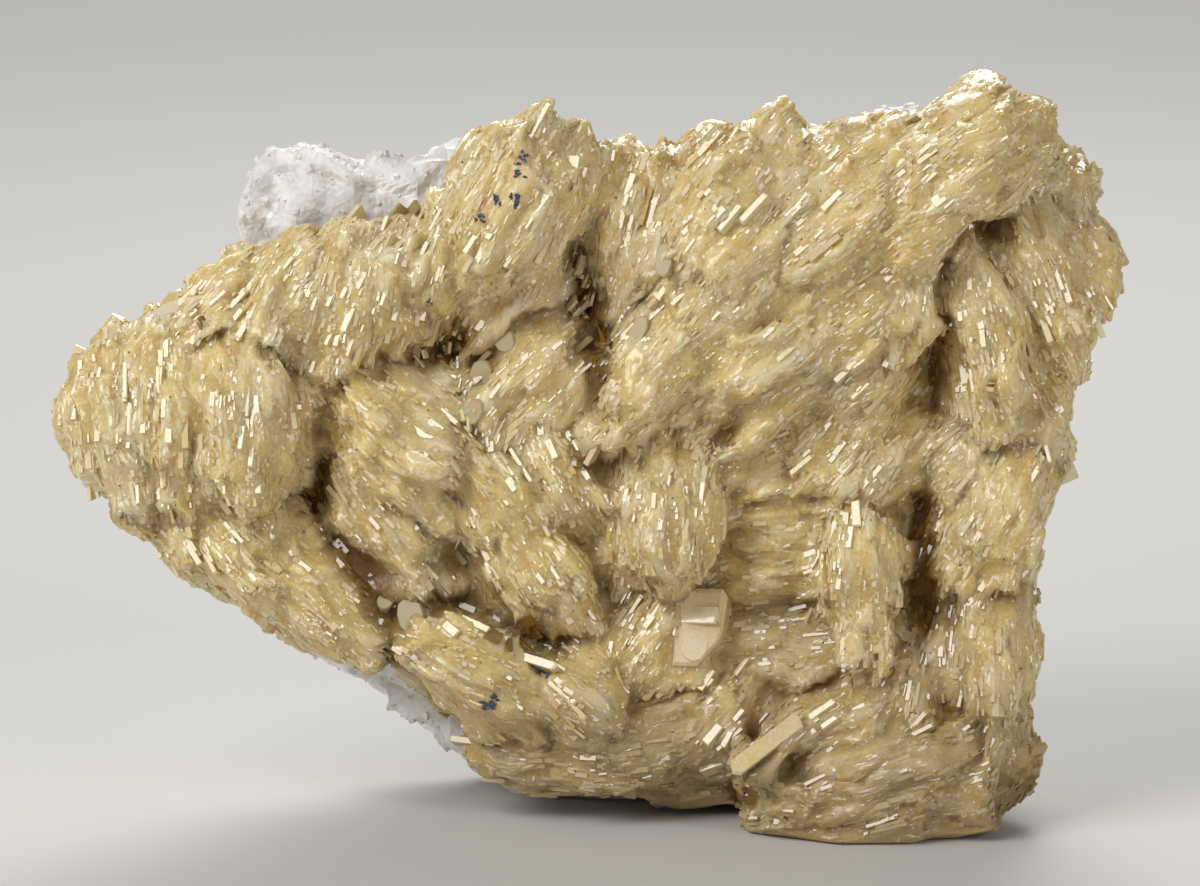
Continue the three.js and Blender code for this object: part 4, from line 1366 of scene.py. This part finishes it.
class BARITE_OT_large_crystals(bpy.types.Operator):
    """Sets the large single crystals into the crust, honey and clear"""

    bl_idname = "barite.large_crystals"
    bl_label = "Large crystals"

    def execute(self, context):
        settings = context.scene.barite_blades
        bed = bpy.data.objects["barite_bed"]
        tree = BVHTree.FromObject(bed, context.evaluated_depsgraph_get())
        honey = set_crystals("large_crystals", LARGE_CRYSTALS, tree)
        clear = set_crystals("clear_crystals", CLEAR_CRYSTALS, tree)
        # Painted shade: a fixed shade value, which darkens the clear crystals a little towards the crevice
        # brown and leaves the honey ones as they are.
        for piece, shade in ((honey, 0.8), (clear, 0.6)):
            places = coordinates(piece.data) / MM
            keep_values(piece.data, "shade", np.full(len(places), shade))
            keep_values(piece.data, "lane", places / 3, "FLOAT_VECTOR")
        finished(honey, bpy.data.materials["barite_clear_tips"], "barite")
        finished(clear, new_material("barite_smoky_clear", smoky_barite, settings), "barite")
        return {"FINISHED"}


class BARITE_OT_rock(bpy.types.Operator):
    """Makes the lump of rock behind the crystals"""

    bl_idname = "barite.rock"
    bl_label = "Rock"

    def execute(self, context):
        settings = context.scene.barite_rock
        rock = remeshed("rock", "white_rock", settings.voxel, 0, 4)
        mesh = rock.data
        places = shifted(coordinates(mesh) / MM, ROCK_SHIFTS)
        facing = normals(mesh)
        clear = ramp(places[:, 2], 0, 1.5)
        relief = np.zeros(len(places))
        for pattern, size, height, seed in ROCK_RELIEF.values():
            relief += height * pattern(places, size, seed)
        relief *= clear
        # The face that the crystals grow on stays behind them.
        relief = np.where(facing[:, 1] < -0.3, np.minimum(relief - 0.2 * clear, 0), relief)
        places += facing * relief[:, None]
        places[:, 2] = np.maximum(places[:, 2], 0)
        move_points(mesh, places * MM)
        soften(mesh, 1)
        keep_values(mesh, "crowd", (places[:, 2] > 1.5).astype(float))
        material = new_material("white_sugary_rock", sugary_rock, settings)
        finished(rock, material, "rock", "rock")
        values = {
            "Grain": sugar_templates(settings.seed),
            "Crowding": settings.crowding,
            "Seed": settings.seed,
            "Size": settings.grain,
            "Material": material,
        }
        finished(grown(rock, sugar_tree(), "sugar_grains", values), None, "rock")
        return {"FINISHED"}


class BARITE_OT_grains(bpy.types.Operator):
    """Makes the dark metallic grains bedded in the blades"""

    bl_idname = "barite.grains"
    bl_label = "Dark grains"

    def execute(self, context):
        settings = context.scene.barite_grains
        chance = random.Random(settings.seed)
        bed = bpy.data.objects["barite_bed"]
        tree = BVHTree.FromObject(bed, context.evaluated_depsgraph_get())
        shape = bmesh.new()
        for name in GRAIN_NODES:
            low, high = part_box(name)
            half = (high - low) / 2
            across, rise, _ = face_places(np.array([(low + high) / 2 / MM]))
            # A grain is a close heap of broken bits.
            for _ in range(9):
                right = across[0] + chance.uniform(-0.7, 0.7) * half.x / MM
                up = rise[0] + chance.uniform(-0.7, 0.7) * half.z / MM
                size = [side * chance.uniform(0.3, 0.6) for side in half]
                shard(shape, chance, seen_on(tree, right, up), size, 9)
        grains = mesh_from(shape, "dark_grains")
        material = new_material("dark_metallic_grain", dark_metal, settings)
        finished(grains, material, "dark_grain", *GRAIN_NODES)
        shape = bmesh.new()
        front = [face for face in bed.data.polygons if face.normal.y < -0.3]
        for face in chance.sample(front, settings.specks):
            shard(shape, chance, face.center + face.normal * 0.1 * MM, [0.13 * MM] * 3, 6)
        finished(mesh_from(shape, "dark_specks"), material, "dark_grain")
        return {"FINISHED"}


class BARITE_OT_stage(bpy.types.Operator):
    """Sets up the floor, the lights and the camera"""

    bl_idname = "barite.stage"
    bl_label = "Stage"

    def execute(self, context):
        settings = context.scene.barite_stage
        mesh = bpy.data.meshes.new("floor")
        corners = [(x * FLOOR_REACH, y * FLOOR_REACH, 0) for x, y in ((-1, -1), (1, -1), (1, 1), (-1, 1))]
        mesh.from_pydata(corners, [], [(0, 1, 2, 3)])
        mesh.materials.append(new_material("floor_matt_paper", matt_paper, settings))
        new_object("floor", mesh)
        target = seen(*AIM)
        camera = bpy.data.cameras.new("camera")
        camera.lens = settings.lens
        camera.sensor_width = 36
        camera.clip_start = 0.01
        viewer = new_object("camera", camera)
        away = Vector((0, -math.cos(VIEW_TILT), math.sin(VIEW_TILT)))
        viewer.location = target + away * settings.distance
        viewer.rotation_euler = (-away).to_track_quat("-Z", "Y").to_euler()
        context.scene.camera = viewer
        for name, (spot, size, power) in LAMPS.items():
            light = bpy.data.lights.new(name, "AREA")
            light.shape = "SQUARE"
            light.size = size * MM
            light.energy = power
            lamp = new_object(name, light)
            lamp.location = Vector(spot) * MM
            lamp.rotation_euler = (target - lamp.location).to_track_quat("-Z", "Y").to_euler()
        world = bpy.data.worlds.new("studio")
        world.use_nodes = True
        background = world.node_tree.nodes["Background"].inputs
        background["Color"].default_value = (*linear("#f2f2f2"), 1)
        background["Strength"].default_value = STUDIO_LIGHT
        context.scene.world = world
        # The plain transform keeps the crystal's own yellow, which a film-like one would wash out.
        context.scene.view_settings.view_transform = "Standard"
        # Light that has bounced more often than this adds nothing that shows.
        context.scene.cycles.max_bounces = 5
        context.scene.cycles.diffuse_bounces = 3
        context.scene.cycles.transparent_max_bounces = 6
        return {"FINISHED"}


class BARITE_PT_panel(bpy.types.Panel):
    """Lists the pieces of the specimen"""

    bl_idname = "BARITE_PT_panel"
    bl_label = "Barite cluster"
    bl_space_type = "VIEW_3D"
    bl_region_type = "UI"
    bl_category = "Barite"

    def draw(self, context):
        for operator in OPERATORS:
            self.layout.operator(operator.bl_idname)
        for group in GROUPS:
            settings = getattr(context.scene, group)
            for name in settings.__annotations__:
                self.layout.prop(settings, name)


GROUPS = {
    "barite_blades": BladeSettings,
    "barite_rock": RockSettings,
    "barite_grains": GrainSettings,
    "barite_stage": StageSettings,
}
OPERATORS = [
    BARITE_OT_crust,
    BARITE_OT_blades,
    BARITE_OT_large_crystals,
    BARITE_OT_rock,
    BARITE_OT_grains,
    BARITE_OT_stage,
]


def register():
    """Registers the classes and hangs the settings on the scene."""
    for group in [*GROUPS.values(), *OPERATORS, BARITE_PT_panel]:
        bpy.utils.register_class(group)
    for name, group in GROUPS.items():
        setattr(bpy.types.Scene, name, PointerProperty(type=group))


def unregister():
    """Undoes what register does."""
    for name in GROUPS:
        delattr(bpy.types.Scene, name)
    for group in reversed([*GROUPS.values(), *OPERATORS, BARITE_PT_panel]):
        bpy.utils.unregister_class(group)


def main():
    """Makes every piece and the stage."""
    register()
    bpy.ops.barite.crust()
    bpy.ops.barite.blades()
    bpy.ops.barite.large_crystals()
    bpy.ops.barite.rock()
    bpy.ops.barite.grains()
    bpy.ops.barite.stage()


if __name__ == "__main__":
    main()
